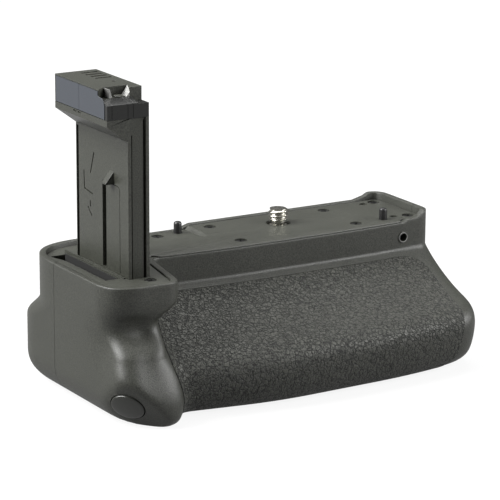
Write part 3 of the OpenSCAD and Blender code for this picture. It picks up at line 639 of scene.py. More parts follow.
# %% Grained rubber
def rubber_grain():
    finish = Finish("rubber_grain", (0.046, 0.0475, 0.039), 0.5)

    def creases(size, stray, width):
        """Worm-like creases: borders of bent cells, broken off where a noise is low."""
        bend = finish.node("ShaderNodeTexNoise", None, {"Vector": finish.place, "Scale": 1400 / size}).out("Color")
        shove = finish.node("ShaderNodeVectorMath", {"operation": "SCALE"}, {0: bend, 3: stray * MM}).out()
        bent = finish.node("ShaderNodeVectorMath", {"operation": "ADD"}, {0: finish.place, 1: shove}).out()
        edge = finish.node("ShaderNodeTexVoronoi", {"feature": "DISTANCE_TO_EDGE"},
                           {"Vector": bent, "Scale": 1000 / size}).out("Distance")
        return (1 - edge.ramp(0.0, width)) * finish.noise(size * 1.1, 1.0, place=bent).ramp(0.3, 0.42)

    long_ones = creases(1.6, 1.6, 0.13)
    crease_and_shade = long_ones.sum("MAXIMUM", long_ones, creases(1.05, 1.0, 0.13) * 0.7)
    # The creases' colour is painted shade, about an eighth of the rubber's own; only their dent is real relief.
    finish.feed(Base_Color=finish.tint(crease_and_shade, 1.05, 0.12), Roughness=crease_and_shade * 0.2 + 0.55)
    return finish.bump(1 - crease_and_shade, 0.4).material


grained_rubber = rubber_grain()

# %% [markdown]
# The other finishes are polished plastic, a film, plated and blackened steel, brass, gold and the lacquer of
# the circuit board. Each gets the small unevenness that tells it from a flat colour.

# %% Metals, film and lacquer
def even(name, color, roughness, metallic=0.0, coat=0.0, grain=0.8, pit=0.002):
    finish = Finish(name, color, roughness, metallic, coat)
    fine = finish.noise(grain, 3.0)
    finish.feed(Base_Color=finish.tint(fine, 0.9, 1.1), Roughness=(fine - 0.5) * 0.12 + roughness)
    return finish.bump(fine, pit).material


gloss_black = even("gloss_black", (0.006, 0.0064, 0.0058), 0.3, pit=0.01)
label_film = even("label_film", (0.04, 0.045, 0.054), 0.5, pit=0.002)
nickel = even("nickel_plate", (0.5, 0.49, 0.435), 0.27, 1.0, pit=0.0015)
# Near black, for the sheet that paints shade onto the well's lit wall.
well_shade = even("well_shade", (0.005, 0.005, 0.0045), 0.7)
cheek_steel = even("cheek_steel", (0.3, 0.3, 0.29), 0.5, 0.9, pit=0.002)
dark_steel = even("black_steel", (0.04, 0.04, 0.04), 0.4, 0.8, grain=0.4, pit=0.003)
brass = even("turned_brass", (0.7, 0.5, 0.2), 0.3, 1.0)
gold = even("gold_plate", (0.83, 0.6, 0.24), 0.22, 1.0)
lacquer = even("board_lacquer", (0.02, 0.11, 0.045), 0.35, coat=0.5)
red_plastic = even("red_plastic", (0.35, 0.03, 0.025), 0.4)
print("finishes", sorted(m.name for m in bpy.data.materials if m.use_nodes))
FINISH = {"shell_plastic": shell_satin, "deck_plastic": deck_satin, "tower_plastic": tower_satin,
          "block_plastic": gloss_black, "inner_plastic": inner_satin, "grip_rubber": grained_rubber,
          "label": label_film, "bright_steel": nickel, "dark_steel": dark_steel, "brass": brass,
          "gold_contact": gold, "board": lacquer}

# %% [markdown]
# Every piece is handed over in the same way: it gets one finish, given or found by the record's material
# slot, rides on the body that it moves with, and hides the CAD nodes that it stands for.

# %% Fit a piece to its body and finish
SLOTS = {p["node"]: p["material_slot"] for p in frame["record"]["subparts"]}


def fit(piece, *nodes, body="housing", slot=None, finish=None):
    """Lets a piece ride on a body, stand for CAD nodes and take a finish."""
    slot = slot or SLOTS[nodes[0]]
    piece.data.materials.clear()
    piece.data.materials.append(finish or FINISH[slot])
    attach(piece, body)
    if nodes:
        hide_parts(*nodes)
    return piece

# %% [markdown]
# ## Rubber skins
# Two sheets of moulded rubber are pressed into the pockets. A skin follows the shell's own surface a little
# proud of it, leaves a thin gap to the pocket's edge all round, and has a rounded border.

# %% Press the rubber into its pockets
SKIN_PROUD, SKIN_THICK, SKIN_EDGE = 0.3, 1.1, 0.35
GAP_ROWS, GAP_COLS = 0.12, 0.075


def skin(name, point, cols, pocket, shift):
    lows = [pocket.rows[0] + GAP_ROWS, pocket.rows[1] - GAP_ROWS]
    sides = [pocket.cols[0] + GAP_COLS, pocket.cols[1] - GAP_COLS]
    rows = []
    for v0 in fine(*lows, FINENESS)[::-1]:
        row = []
        for u0 in fine(*sides, FINENESS):
            v, u = pocket.pull(v0, u0)
            row.append(point(v, u) + outward(point, v, u, cols) * SKIN_PROUD + Vector((0, shift, 0)))
        rows.append(row)
    piece = net(name, rows)
    finish_with(piece, "SOLIDIFY", thickness=SKIN_THICK * MM, offset=-1)
    finish_with(piece, "BEVEL", width=SKIN_EDGE * MM, segments=3, limit_method="ANGLE",
                angle_limit=math.radians(50))
    return tidy(piece, 40, 0.001)


grip = skin("rubber_grip", front_point, FRONT_COLS, GRIP, -SEAM_GAP / 2)
thumb = skin("rubber_thumb", rear_point, REAR_COLS, THUMB, SEAM_GAP / 2)

# %% [markdown]
# ## Openings in the shells
# Holes are cut with solids that are thrown away afterwards: the socket, the button's well, the slot that the
# wheel turns in, the mouth for the cell tray, the tripod bush and the recesses of the bottom screws.

# %% Cut the openings
COVER_Y, COVER_Z, COVER_W, COVER_H = -6.8, -30.55, 39.4, 18.8
TRAY_END = 43.7
WHEEL_Z, WHEEL_R, WHEEL_T = -10.6, 16.3, 7.2
JACK, JACK_R = (36.0, -9.5, -5.4), 2.15
BUSH, BUSH_R = (0, -33.6), 4.9
BUTTON_R = 5.2
BOTTOM_SCREWS = [(-50, -31.5), (32, -31.5), (-72, -20), (-72, 4)]


def mouth():
    """A bar along X with round edges, a little larger than the tray's end cover."""
    width, height = COVER_W + 0.5, COVER_H + 0.5
    piece = block("cutter", (TRAY_END - 3, COVER_Y - width / 2, COVER_Z - height / 2),
                  (TRAY_END + 9, COVER_Y + width / 2, COVER_Z + height / 2))
    pick_edges(piece, lambda a, b: abs(a.x - b.x) > 6)
    bpy.ops.mesh.bevel(offset=2.75 * MM, segments=6, affect="EDGES")
    let_go()
    return piece


def wheel_room():
    return rod("cutter", (0, 0, WHEEL_Z - 0.4), UP, WHEEL_R + 0.6, WHEEL_T + 0.8, 96)


def screw_hole(x, y, z, up, wide=2.2, narrow=1.2, deep=1.0):
    """A stepped hole: a recess for the head from z, with a narrower bore behind it."""
    far = 8
    return turned("cutter", [(0.01, -2), (wide, -2), (wide, deep), (narrow, deep), (narrow, far), (0.01, far)],
                  (x, y, z), (0, 0, up), 32)


cut(front, rod("cutter", BUTTON - FACET * 9, FACET, BUTTON_R + 0.28, 16, 64),
    rod("cutter", JACK, (0, -1, 0), JACK_R, 14), mouth(), wheel_room(),
    rod("cutter", (*BUSH, BASE - 1), UP, BUSH_R, 8),
    *[screw_hole(x, y, BASE, 1) for x, y in BOTTOM_SCREWS[:3]])
cut(rear, mouth(), wheel_room(), screw_hole(*BOTTOM_SCREWS[3], BASE, 1))
for piece in (front, rear):
    tidy(piece, 50)
    print(piece.name, len(piece.data.polygons), "faces after the cuts")
bore, wall = BUTTON_R + 0.3, BUTTON_R + 2.2
sleeve = turned("button_sleeve", [(bore, -6.5), (wall, -6.5), (wall, -2.4), (bore, -2.4)], BUTTON, FACET)
fit(join("body_front", front, sleeve), "front_shell")
fit(rear, "rear_shell")
fit(grip, "grip_skin")
fit(thumb, "thumb_pad")

# %% [markdown]
# ## The deck
# The plate that the camera stands on follows the shells' outline one wall further in. Along the front it
# runs out over the wall, so that only a fine parting line shows. Its step, well and holes are cut out.

# %% Loft the deck
DECK_INSET, DECK_EDGE = THICK + 0.25, 0.12


def deck_rows():
    rows = [[] for _ in range(6)]
    for point, cols, shift in ((front_point, FRONT_COLS, 0), (rear_point, REAR_COLS, 0)):
        for u in fine(0, cols, FINENESS):
            p = point(1, u)
            n = outward(point, 1, u, cols)
            n = Vector((n.x, 0 if u in (0, cols) else n.y, 0)).normalized()
            out = mix(DECK_INSET, DECK_EDGE, overhang(p.x)) if point is front_point else DECK_INSET
            for row, (inset, z) in zip(rows, ((DECK_INSET, DECK_UNDER), (DECK_INSET, -0.45), (out, -0.45),
                                              (out, -0.28), (out + 0.09, -0.08), (out + 0.3, 0))):
                q = p - n * inset
                row.append(Vector((q.x, q.y, z)))
    return [row + row[:1] for row in rows]


rows = deck_rows()
deck = net("deck_plate", rows)
count = len(rows[0])
close_faces(deck, range(count), range(5 * count, 6 * count))
tidy(deck, 30)

# %% [markdown]
# A prism is an outline that is pushed along one axis. The tower stands beside the well that keeps the camera's
# own battery door, and the screws and pins stand where the photograph shows them.

# %% Prisms, and places on the deck
def prism(name, outline, axis, low, high):
    """Pushes an outline along an axis: its points are in the two other axes, taken in turn."""
    let_go()
    bpy.ops.mesh.primitive_circle_add(vertices=len(outline), radius=MM, fill_type="NGON")
    piece = christen(name)
    order = {"x": lambda a, b: (low, a, b), "y": lambda a, b: (a, low, b), "z": lambda a, b: (a, b, low)}[axis]
    for v, (a, b) in zip(piece.data.vertices, outline):
        v.co = Vector(order(a, b)) * MM
    edit_all(piece)
    push = [(high - low) * MM if letter == axis else 0 for letter in "xyz"]
    bpy.ops.mesh.extrude_region_move(TRANSFORM_OT_translate={"value": push})
    return tidy(piece)


TOWER_R, STEM_X, TOWER_FRONT, TOWER_REAR = -66.8, -73.9, -36.2, -3.0
WELL = (-80.4, -75.4, -33.8, 2.2)
BRACKET_SCREWS = [(x, y) for x in (-21.6, 21.3) for y in (6.4, -13.0)]
SHELL_SCREWS = [(41.4, 7.6), (41.6, -12.4), (-40, 7.6), (-68.4, -39.4)]
PINS = [(-32.2, 8.4), (31.8, -12.8)]
PLAIN_HOLES = [(36.9, 6.9), (36.6, -11.6)]

# %% [markdown]
# Left of the step the deck sinks towards the rear, so a net at that level is pushed upwards and cut away. The
# well's tub hangs below the deck, and every screw has a flat-bottomed recess.

# %% Cut the deck
tub = block("tub", (WELL[0] - 1, WELL[2] - 1, DECK_LOW - 22), (WELL[1] + 1, WELL[3] + 1, DECK_LOW - 0.6))
hollow = block("cutter", (WELL[0], WELL[2], DECK_LOW - 21), (WELL[1], WELL[3], 2))
columns = fine(-95, -29, 6) + [STEP + DECK_LOW, STEP, STEP + 0.4]


def step_height(x, y):
    """The sunken level, lifted clear of the deck where nothing is to be cut."""
    return deck_level(x, y) + (0.03 if y < -9.9 else 0) + max(0, x - STEP)


step = net("cutter", [[Vector((x, y, step_height(x, y))) for x in columns] for y in [-60, *fine(-10, 4, 1), 25]])
edit_all(step)
bpy.ops.mesh.extrude_region_move(TRANSFORM_OT_translate={"value": (0, 0, 5 * MM)})
tidy(step)
cut(deck, step)
cut(deck, tub, operation="UNION")
cut(deck, hollow, block("cutter", (STEM_X - 0.25, TOWER_FRONT - 0.25, -6), (TOWER_R + 0.25, TOWER_REAR + 0.25, 3)))
cut(deck, turned("cutter", [(0.01, -4), (3.6, -4), (3.6, -0.35), (3.95, 0), (3.95, 2), (0.01, 2)]))
for x, y in BRACKET_SCREWS + SHELL_SCREWS:
    cut(deck, screw_hole(x, y, deck_level(x, y), -1, 2.0, 1.05, 0.9))
for x, y in PLAIN_HOLES:
    cut(deck, screw_hole(x, y, deck_level(x, y), -1, 1.35, 0.9, 0.5))
for x, y in PINS:
    cut(deck, rod("cutter", (x, y, -5), UP, 1.5, 8, 32))
lip = block("lip", (WELL[1] + 0.35, WELL[2] - 1.2, DECK_LOW - 0.3), (WELL[1] + 0.95, WELL[3] + 1.0, 0.3))
cut(deck, lip, operation="UNION")
finish_with(deck, "BEVEL", width=0.12 * MM, segments=1, limit_method="ANGLE", angle_limit=math.radians(60))
fit(tidy(deck, 30), "top_deck")
print("deck", len(deck.data.polygons), "faces")

# %% [markdown]
# ## Screws and pins
# All the small screws have the same head: a flat disc with a rounded edge and a cross recess. It is modelled
# once, cut with a tapered cross, and copied to every place. The pins are turned with a domed tip.

# %% Cross-recess screws
def screw_head(name, radius, height, shaft, length):
    outline = [(0.01, -length), (shaft, -length), (shaft, 0), (radius, 0), (radius, height * 0.6),
               (radius * 0.86, height * 0.95), (radius * 0.6, height), (0.01, height)]
    head = turned(name, outline, steps=32)
    for turn in (0.4, 0.4 + math.pi / 2):
        reach, half = radius * 0.66, radius * 0.13
        slot = block("cutter", (-reach, -half, height * 0.3), (reach, half, height + 1))
        slot.data.transform(Matrix.Rotation(turn, 4, "Z"))
        cut(head, slot)
    return tidy(head, 35)


def copies(model, places, axis=UP):
    """Copies a model to each place, each copy with its own mesh and its own turn, and removes the model."""
    found = [along(new_object(f"{model.name}_{k}", model.data.copy()), place, axis, 0.7 * k)
             for k, place in enumerate(places)]
    bpy.data.objects.remove(model)
    return found


top_screws = copies(screw_head("screw", 1.7, 0.62, 0.75, 5.2),
                    [(x, y, deck_level(x, y) - 0.88) for x, y in BRACKET_SCREWS + SHELL_SCREWS])
fit(join("deck_screw_set", *top_screws), "deck_screws")
base_screws = copies(screw_head("screw", 2.0, 0.62, 0.9, 5.8),
                     [(x, y, BASE + 0.88) for x, y in BOTTOM_SCREWS], (0, 0, -1))
fit(join("bottom_screw_set", *base_screws), "bottom_screws")
pin_shapes = []
for k, (x, y) in enumerate(PINS):
    foot = deck_level(x, y)
    top = foot + 3.8
    pin_shapes.append(turned(f"pin_{k}", [(0.01, DECK_UNDER), (1.49, DECK_UNDER), (1.49, foot - 0.05),
                                          (1.3, foot), (1.3, top - 0.75), (1.16, top - 0.35), (0.85, top - 0.1),
                                          (0.4, top), (0.01, top)], (x, y, 0), steps=40))
fit(join("locating_pin_pair", *pin_shapes), "locating_pins")

# %% [markdown]
# ## Clamping screw
# The screw that holds the camera has a real thread: a net is wrapped round a rod, and the radius of each
# point depends on how far its height lies from the helix. The ridge fades out at both ends.

# %% Thread the screw
PITCH, CREST, ROOT = 1.27, 3.175, 2.62
AROUND, PER_PITCH = 48, 12


def thread(name, low, high, crest, root, ends):
    """A net round a rod: its radius runs between root and crest along a helix, and ends(z) fades the ridge."""
    rows = []
    count = round((high - low) / PITCH * PER_PITCH)
    for i in range(count + 1):
        z = mix(low, high, i / count)
        row = []
        for j in range(AROUND + 1):
            phase = (z / PITCH - j / AROUND) % 1
            r = mix(root, crest, smooth(1 - abs(phase - 0.5) / 0.36) * ends(z))
            turn = math.tau * j / AROUND
            row.append(Vector((r * math.cos(turn), r * math.sin(turn), z)))
        rows.append(row)
    return net(name, rows)


def tip(z):
    return smooth((z - 0.9) / 0.6) * (1 - smooth((z - 4.5) / 0.3) * 0.6)


clamp_screw = thread("clamp_thread", 0.9, 4.8, CREST, ROOT, tip)
corners = len(clamp_screw.data.vertices)
close_faces(clamp_screw, range(AROUND + 1), range(corners - AROUND - 1, corners))
tidy(clamp_screw, 60)
shank = turned("shank", [(0.01, -13), (2.5, -13), (2.5, -11.5), (4, -11.5), (4, -3.2), (2.9, -3.2), (2.9, -0.6),
                         (2.15, -0.2), (2.15, 0.7), (2.5, 1.0), (0.01, 1.0)])
fit(tidy(join("clamp_screw", clamp_screw, shank), 60, 0.0005), "attachment_screw", body="clamp")
bush = turned("bush_body", [(3.2, 0.35), (3.55, 0.02), (BUSH_R - 0.15, 0.02), (BUSH_R - 0.02, 0.2),
                            (BUSH_R - 0.02, 7.4), (0.01, 7.4), (0.01, 6.6), (3.2, 6.6)], (*BUSH, BASE))
inner = thread("bush_thread", 0.2, 6.6, 2.75, 3.22, lambda z: smooth((z - 0.3) / 0.8))
along(inner, (*BUSH, BASE), UP)
finish_with(inner, "SOLIDIFY", thickness=0.15 * MM, offset=0)
fit(join("tripod_bush_brass", bush, inner), "tripod_bush")

# %% [markdown]
# ## Release button
# The button is turned with a shallow dome and a rounded edge, and stands in a ring gap on the slanted face.

# %% Turn the button
STEM = [(0.01, -4.4), (1.6, -4.4), (1.6, -3.2)]
FLANGE = [(6.0, -3.2), (6.0, -2.2), (BUTTON_R, -2.2)]
EDGE = [(BUTTON_R, 0.05), (BUTTON_R - 0.08, 0.25), (BUTTON_R - 0.35, 0.42), (BUTTON_R - 0.9, 0.5)]
DOME = [(3.4, 0.66), (1.8, 0.76), (0.01, 0.8)]
button = turned("release_button", STEM + FLANGE + EDGE + DOME, BUTTON, FACET, 72)
fit(button, "shutter_button", body="release", finish=button_satin)

# %% [markdown]
# ## The tower
# The tower fills the camera's battery well. Moulded edges are never sharp, so the edges of each part are eased
# with a small bevel in the end. Where a part is a worked copy of its CAD node, its corners are merged and its
# flat faces joined first. An engraved line is a row of shallow prisms that are cut out.

# %% Ways to copy, ease and engrave
def loose_copy(node, name):
    piece = edit_all(new_object(name, frame["nodes"][node].data.copy()))
    bpy.ops.mesh.remove_doubles(threshold=0.001 * MM)
    bpy.ops.mesh.dissolve_limited(angle_limit=math.radians(1))
    let_go()
    return piece


def eased(piece, width, segments=2, angle=35):
    take(piece)
    bpy.ops.object.shade_smooth_by_angle(angle=math.radians(35))
    return finish_with(piece, "BEVEL", width=width * MM, segments=segments, limit_method="ANGLE",
                       angle_limit=math.radians(angle), use_clamp_overlap=True, harden_normals=True)


def groove(points, width, x, depth=0.35):
    """Cutters for an engraved line through (y, z) points on a face that looks to the left."""
    found = []
    for (y0, z0), (y1, z1) in zip(points, points[1:]):
        run = Vector((0, y1 - y0, z1 - z0))
        side = Vector((0, -run.z, run.y)).normalized() * width / 2
        ends = [Vector((0, y0, z0)), Vector((0, y1, z1))]
        outline = [ends[0] + side, ends[1] + side, ends[1] - side, ends[0] - side]
        found.append(prism("cutter", [(p.y, p.z) for p in outline], "x", x - 1, x + depth))
    return found

# %% [markdown]
# The plate on the left carries the overhanging head on a corbel. Slots leave a springy tongue, and a wedge
# above it guides the tower into the camera. The strokes are an arrow that shows which way round it goes. The
# slots go through the plate, so they look black.

# %% Plate of the tower
HEAD_X, HEAD_FRONT, HEAD_LOW, HEAD_TOP = -80.8, -31.8, 48.8, 57.2
PLATE_IN, PLATE_TOP, CORBEL_LOW = STEM_X + 1.1, 48.75, 41.7
TONGUE_FRONT, TONGUE_REAR, TONGUE_LOW, TONGUE_TOP = -30.7, -22.3, 0.6, 26.9
NOSE_OUT, NOSE_LOW, NOSE_TOP = STEM_X - 2.9, 27.2, 31.1
STROKES = [[(-14.6, 34.5), (-12.2, 27.6)], [(-8, 27.8), (-8.2, 22.2), (-13.7, 21.4)], [(-12, 19), (-12, 17.1)],
           [(-10.4, 16.9), (-12.9, 14.5)]]
MARKS = [[(-14.9, 48.3), (-17.0, 48.24)], [(-17.7, 48.22), (-19.6, 48.18)]]


def slit(front, rear, low, top):
    """A cutter that goes through the plate."""
    return block("cutter", (STEM_X - 1, front, low), (STEM_X + 2, rear, top))


cover = block("tower_plate", (STEM_X, TOWER_FRONT, DECK_UNDER), (PLATE_IN, TOWER_REAR, PLATE_TOP))
corbel = prism("corbel", [(STEM_X, CORBEL_LOW), (HEAD_X, 46.8), (HEAD_X, PLATE_TOP), (PLATE_IN, PLATE_TOP),
                          (PLATE_IN, CORBEL_LOW)], "y", TOWER_FRONT, TOWER_REAR)
cut(cover, corbel, operation="UNION")
cut(cover, slit(TONGUE_REAR, TONGUE_REAR + 2.4, TONGUE_LOW, TONGUE_TOP),
    slit(TONGUE_FRONT + 1.1, TONGUE_REAR + 2.4, TONGUE_TOP, TONGUE_TOP + 0.25),
    slit(TONGUE_FRONT - 0.25, TONGUE_FRONT, TONGUE_LOW, TONGUE_TOP - 1.2),
    *groove([(-29.5, 27.0), (-30.5, 26.6), (-30.82, 25.6)], 0.26, STEM_X, 1.2),
    *[c for stroke in STROKES for c in groove(stroke, 0.5, STEM_X, 0.5)],
    *[c for mark in MARKS for c in groove(mark, 0.4, HEAD_X, 0.4)],
    slit(TOWER_REAR - 1.7, TOWER_REAR - 0.35, -5, CORBEL_LOW - 0.7))
eased(cover, 0.14)
NOSE = [(STEM_X + 0.3, NOSE_TOP), (STEM_X, NOSE_TOP), (NOSE_OUT, NOSE_LOW + 0.3), (NOSE_OUT + 0.3, NOSE_LOW),
        (STEM_X + 0.3, NOSE_LOW)]
nose = eased(prism("nose", NOSE, "y", -27.2, -24.6), 0.12)
fit(join("tower_plate", cover, nose), "tower_cover")
print("tower plate", len(cover.data.polygons), "faces")

# %% [markdown]
# The spine behind the plate is a copy of its node. One groove runs up it beside the plate, one near the right
# edge, and one deepens the dark slot at the plate's rear.

# %% Spine of the tower
spine = loose_copy("tower_core", "tower_spine")
for low, high in (((-73.6, TOWER_FRONT - 1, -3), (-72.2, TOWER_FRONT + 1.6, 43.5)),
                  ((-74, TOWER_REAR - 1.7, -6), (-71.9, -0.5, 41)),
                  ((-68.5, TOWER_FRONT - 1, -3), (-67.95, TOWER_FRONT + 1.6, 48))):
    cut(spine, block("cutter", low, high))
fit(eased(spine, 0.22), "tower_core")

# %% [markdown]
# The head is the end of a false battery: four contact slots and a small dimple on top, and a notch in front
# whose slanted steel cheeks catch the light.

# %% Head and notch
NOTCH_FLOOR, NOTCH_BACK = 54.4, -28.2
CONTACTS = [-7.1 - 3.0 * k for k in range(4)]
head = block("tower_cap", (HEAD_X, HEAD_FRONT, HEAD_LOW), (TOWER_R, TOWER_REAR, HEAD_TOP))
notch = prism("cutter", [(HEAD_X - 1, -33), (HEAD_X - 1, -31.1), (HEAD_X, -31.0), (-77.5, NOTCH_BACK),
                         (-69.7, NOTCH_BACK), (-71.2, -33)], "z", NOTCH_FLOOR - 0.1, 58)
sockets = [block("cutter", (-73.6, y, 55.6), (-67.9, y + 1.5, 58)) for y in CONTACTS]
cut(head, notch, *sockets, rod("cutter", (-70.6, -21.6, 56.6), UP, 0.65, 2, 24),
    block("cutter", (HEAD_X - 1, -31.9, 48.7), (HEAD_X + 0.22, -3.4, 56.8)))
fit(eased(head, 0.16), "tower_head")
RIGHT_CHEEK = [(-69.6, 57.1), (-69.8, 57.15), (-71.9, NOTCH_FLOOR), (-69.6, NOTCH_FLOOR)]
LEFT_CHEEK = [(-77.6, 57.0), (-77.3, 57.0), (-76.6, NOTCH_FLOOR), (-77.6, NOTCH_FLOOR)]
cheeks = [prism("cheek", line, "y", -31.7, -28.3) for line in (RIGHT_CHEEK, LEFT_CHEEK)]
fit(eased(join("notch_cheeks", *cheeks), 0.06, 1), slot="bright_steel", finish=cheek_steel)
DISC = [(0.01, 54.2), (1.5, 54.2), (1.5, 54.7), (1.3, 54.85), (0.7, 54.9), (0.01, 54.9)]
fit(turned("notch_disc", DISC, (-73.9, -30.3, 0), steps=40), slot="tower_plastic")
print("head", len(head.data.polygons), "faces")

# %% [markdown]
# The black block in front of the notch is polished and has a sloped top. Three fine ribs run up its front and
# over the slope. The film on the left side wraps over the joint between head and block, so it is one outline,
# with a hairline cut across it.

# %% Block, film and contacts
SLOPE_END = -70.4
snout = prism("contact_nose", [(TOWER_FRONT, HEAD_LOW), (HEAD_FRONT, HEAD_LOW), (HEAD_FRONT, NOTCH_FLOOR),
                               (-32.4, NOTCH_FLOOR), (TOWER_FRONT, 53.2)], "x", HEAD_X + 0.1, SLOPE_END)
side = block("side", (SLOPE_END - 0.1, TOWER_FRONT, HEAD_LOW), (TOWER_R, HEAD_FRONT, 53.0))
cut(snout, side, operation="UNION")
eased(snout, 0.2, 3)
RIB_OUT, RIB_IN, RIB_END = TOWER_FRONT - 0.12, TOWER_FRONT + 0.2, -32.5
RIB = [(RIB_OUT, 49.0), (RIB_IN, 49.0), (RIB_IN, 53.1), (RIB_END, 54.3), (RIB_END, 54.5), (RIB_OUT, 53.3)]
ribs = [eased(prism("rib", RIB, "x", x, x + 0.22), 0.05, 1) for x in (-79.1, -73.8, -72.0)]
fit(join("contact_nose", snout, *ribs), "contact_block")
FILM = [(-3.6, 48.93), (-3.6, 56.72), (-30.5, 56.72), (-30.5, 55.35), (-31.0, 55.1), (-32.9, 55.0),
        (-33.5, 54.6), (-34.4, 53.4), (-34.6, 53.0), (-34.6, 48.93)]
film = prism("side_film", FILM, "x", HEAD_X - 0.03, HEAD_X + 0.2)
cut(film, *groove([(-18.6, 48), (-18.6, 58)], 0.09, HEAD_X, 0.06))
fit(eased(film, 0.03, 1, 40), "head_label")
plates = [block("contact", (-73.5, y + 0.1, 55.4), (-68.0, y + 1.4, 55.9), 0.1) for y in CONTACTS]
fit(join("contact_plates", *plates), "tower_contacts")

# %% [markdown]
# ## Wheel, tray, lock and the parts inside
# A worked copy with eased edges stands for each of these nodes. Tray and cover ride on the tray's body, knob
# and tongue on the lock's, so the copies move as the nodes would.

# %% Ease the other parts
EASED = [
    ("tightening_wheel", "clamp_wheel", "clamp", 0.2, inner_satin),
    ("screw_clip", "spindle_clip", "clamp", 0.08, nickel),
    ("wheel_bracket", "bearing_bracket", "housing", 0.15, dark_steel),
    ("jack_socket", "remote_jack", "housing", 0.12, deck_satin),
    ("door_latch", "well_latch", "housing", 0.12, inner_satin),
    ("circuit_board", "control_board", "housing", 0.08, lacquer),
    ("battery_chamber", "cell_sleeve", "housing", 0.15, inner_satin),
    ("latch_keeper", "keeper_plate", "housing", 0.1, nickel),
    ("chamber_contacts", "sleeve_contacts", "housing", 0.1, gold),
    ("battery_tray", "cell_tray", "tray", 0.2, inner_satin),
    ("tray_contacts", "cell_contacts", "tray", 0.1, gold),
    ("tray_cover", "end_cover", "tray", 0.3, shell_satin),
    ("lock_knob", "turn_knob", "lock", 0.22, shell_satin),
    ("lock_tongue", "turn_tongue", "lock", 0.12, nickel),
    ("switch_plunger", "red_plunger", "release", 0.1, red_plastic),
    ("shutter_switch", "micro_switch", "housing", 0.15, inner_satin),
]
for node, name, body, width, finish in EASED:
    fit(eased(loose_copy(node, name), width), node, body=body, finish=finish)
print("eased", len(EASED), "parts")

# %% [markdown]
# ## A ring, and painted shade in the well, that the nodes don't have
# The socket's mouth has a thin bright ring. The wall of the well that faces the light is covered with a dark
# sheet that is painted shade, because in the photograph nothing inside the well is lit.

# %% Ring of the socket and painted shade in the well
RING = [(1.36, 0), (1.36, -0.3), (1.42, -0.4), (1.56, -0.4), (1.64, -0.3), (1.64, 0)]
ring = turned("jack_ring", RING, (JACK[0], -18.2, JACK[2]), (0, 1, 0))
fit(ring, slot="bright_steel", finish=cheek_steel)
# Painted shade: a near-black sheet over the wall of the well that faces the light.
shade_sheet = block("well_shade_paint", (WELL[1] - 0.35, WELL[2] + 0.5, DECK_LOW - 20.3),
               (WELL[1] - 0.05, WELL[3] - 0.5, DECK_LOW + 0.55))
fit(shade_sheet, slot="inner_plastic", finish=well_shade)
print("ring", len(ring.data.polygons), "faces, lining", len(shade_sheet.data.polygons))

# %% [markdown]
# ## The CAD nodes
# By now a worked piece stands for every node. The nodes stay as they are and get the finish of their slot.

# %% Finish the nodes
for name, node in frame["nodes"].items():
    node.data.materials.clear()
    node.data.materials.append(FINISH[SLOTS[name]])
print("dressed", len(frame["nodes"]), "nodes")

# %% [markdown]
# ## Floor, light and camera
# The object stands on a white floor under three soft lights: one above, one high on the left, and one on the
# right that reaches the front wall.
# Camera rays see a floor that is nearly white, while the object is lit by a much darker one.

# %% Floor and world
def paper():
    finish = Finish("white_paper", (0.86, 0.86, 0.86), 0.9)
    tree, ray = finish.tree, finish.node("ShaderNodeLightPath")
    mirrored = ray.out("Is Glossy Ray").sum("MAXIMUM", ray.out("Is Glossy Ray"), ray.out("Is Transmission Ray"))
    shown = ray.out("Is Camera Ray") * 0.88 + mirrored * 0.4
    finish.feed(Base_Color=finish.tint(ray.out("Is Camera Ray"), 0.14, 1.0))
    glow = finish.node("ShaderNodeEmission", None, {"Color": (1, 1, 1, 1), "Strength": 1.0})
    blend = finish.node("ShaderNodeMixShader", None, {0: shown}).node
    tree.links.new(finish.shader.outputs[0], blend.inputs[1])
    tree.links.new(glow.node.outputs[0], blend.inputs[2])
    tree.links.new(blend.outputs[0], tree.nodes["Material Output"].inputs["Surface"])
    return finish.material


let_go()
bpy.ops.mesh.primitive_plane_add(size=6, location=(0, 0, (BASE - 0.05) * MM))
floor = settle(christen("floor"))
floor.data.materials.append(paper())

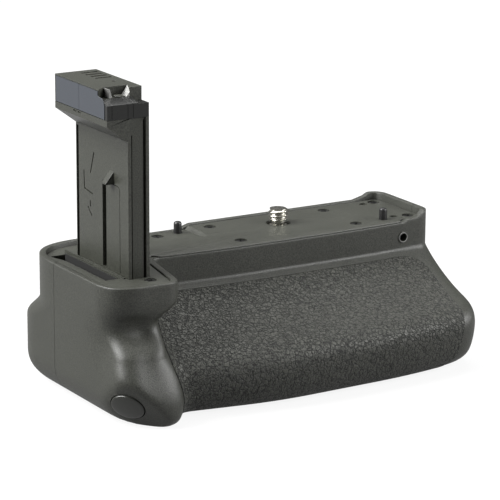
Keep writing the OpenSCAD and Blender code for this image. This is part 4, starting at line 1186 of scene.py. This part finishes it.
world = bpy.data.worlds.new("studio")
world.use_nodes = True
bpy.context.scene.world = world
sky = world.node_tree
air = sky.nodes["Background"]
ray = sky.nodes.new("ShaderNodeLightPath")
bright = sky.nodes.new("ShaderNodeMath")
bright.operation = "MULTIPLY_ADD"
sky.links.new(ray.outputs["Is Camera Ray"], bright.inputs[0])
SKY_SEEN, SKY_LIGHT = 1.0, 0.15
bright.inputs[1].default_value = SKY_SEEN - SKY_LIGHT
bright.inputs[2].default_value = SKY_LIGHT
air.inputs["Color"].default_value = (1, 1, 1, 1)
sky.links.new(bright.outputs[0], air.inputs["Strength"])

# %% [markdown]
# Large lamps give the broad, soft highlights of the photograph; small ones would burn out on the flat deck.

# %% Lights
def softbox(name, at, aim, width, height, power):
    lamp = bpy.data.lights.new(name, "AREA")
    lamp.shape, lamp.size, lamp.size_y, lamp.energy = "RECTANGLE", width, height, power
    holder = new_object(name, lamp)
    holder.location = at
    holder.rotation_euler = (Vector(aim) - Vector(at)).to_track_quat("-Z", "Y").to_euler()


softbox("overhead", (0.05, 0.25, 1.0), (-0.02, -0.02, 0), 1.0, 0.9, 11)
softbox("left_fill", (-0.8, 0.28, 0.72), (-0.03, -0.02, 0), 0.8, 0.8, 33)
softbox("right_fill", (0.75, -0.6, 0.46), (0.04, -0.02, 0), 0.7, 0.6, 14)

# %% [markdown]
# The camera stands where the photograph was taken from: low, in front and to the left, with a long lens.
# Its place was found by fitting known sizes, the 6.35 mm thread and the 14 mm cell, to the picture.

# %% Camera
AZ, EL, ROLL = (math.radians(a) for a in (-30.85, 14.97, 0.28))
FOCAL_PX, DISTANCE, AIM_X, AIM_Y = 2817, 903, 9.0, 8.8
back = Vector((math.sin(AZ) * math.cos(EL), -math.cos(AZ) * math.cos(EL), math.sin(EL)))
right = Vector((math.cos(AZ), math.sin(AZ), 0))
up = back.cross(right)
right, up = right * math.cos(ROLL) + up * math.sin(ROLL), up * math.cos(ROLL) - right * math.sin(ROLL)
lens = bpy.data.cameras.new("camera")
lens.sensor_fit, lens.sensor_width, lens.lens = "HORIZONTAL", 36, FOCAL_PX * 36 / 500
lens.clip_start, lens.clip_end = 0.01, 20
camera = new_object("camera", lens)
turn = Matrix((right, up, back)).transposed()
camera.matrix_world = Matrix.Translation((turn @ Vector((-AIM_X, -AIM_Y, DISTANCE))) * MM) @ turn.to_4x4()
bpy.context.scene.camera = camera
bpy.context.scene.view_settings.view_transform = "Standard"
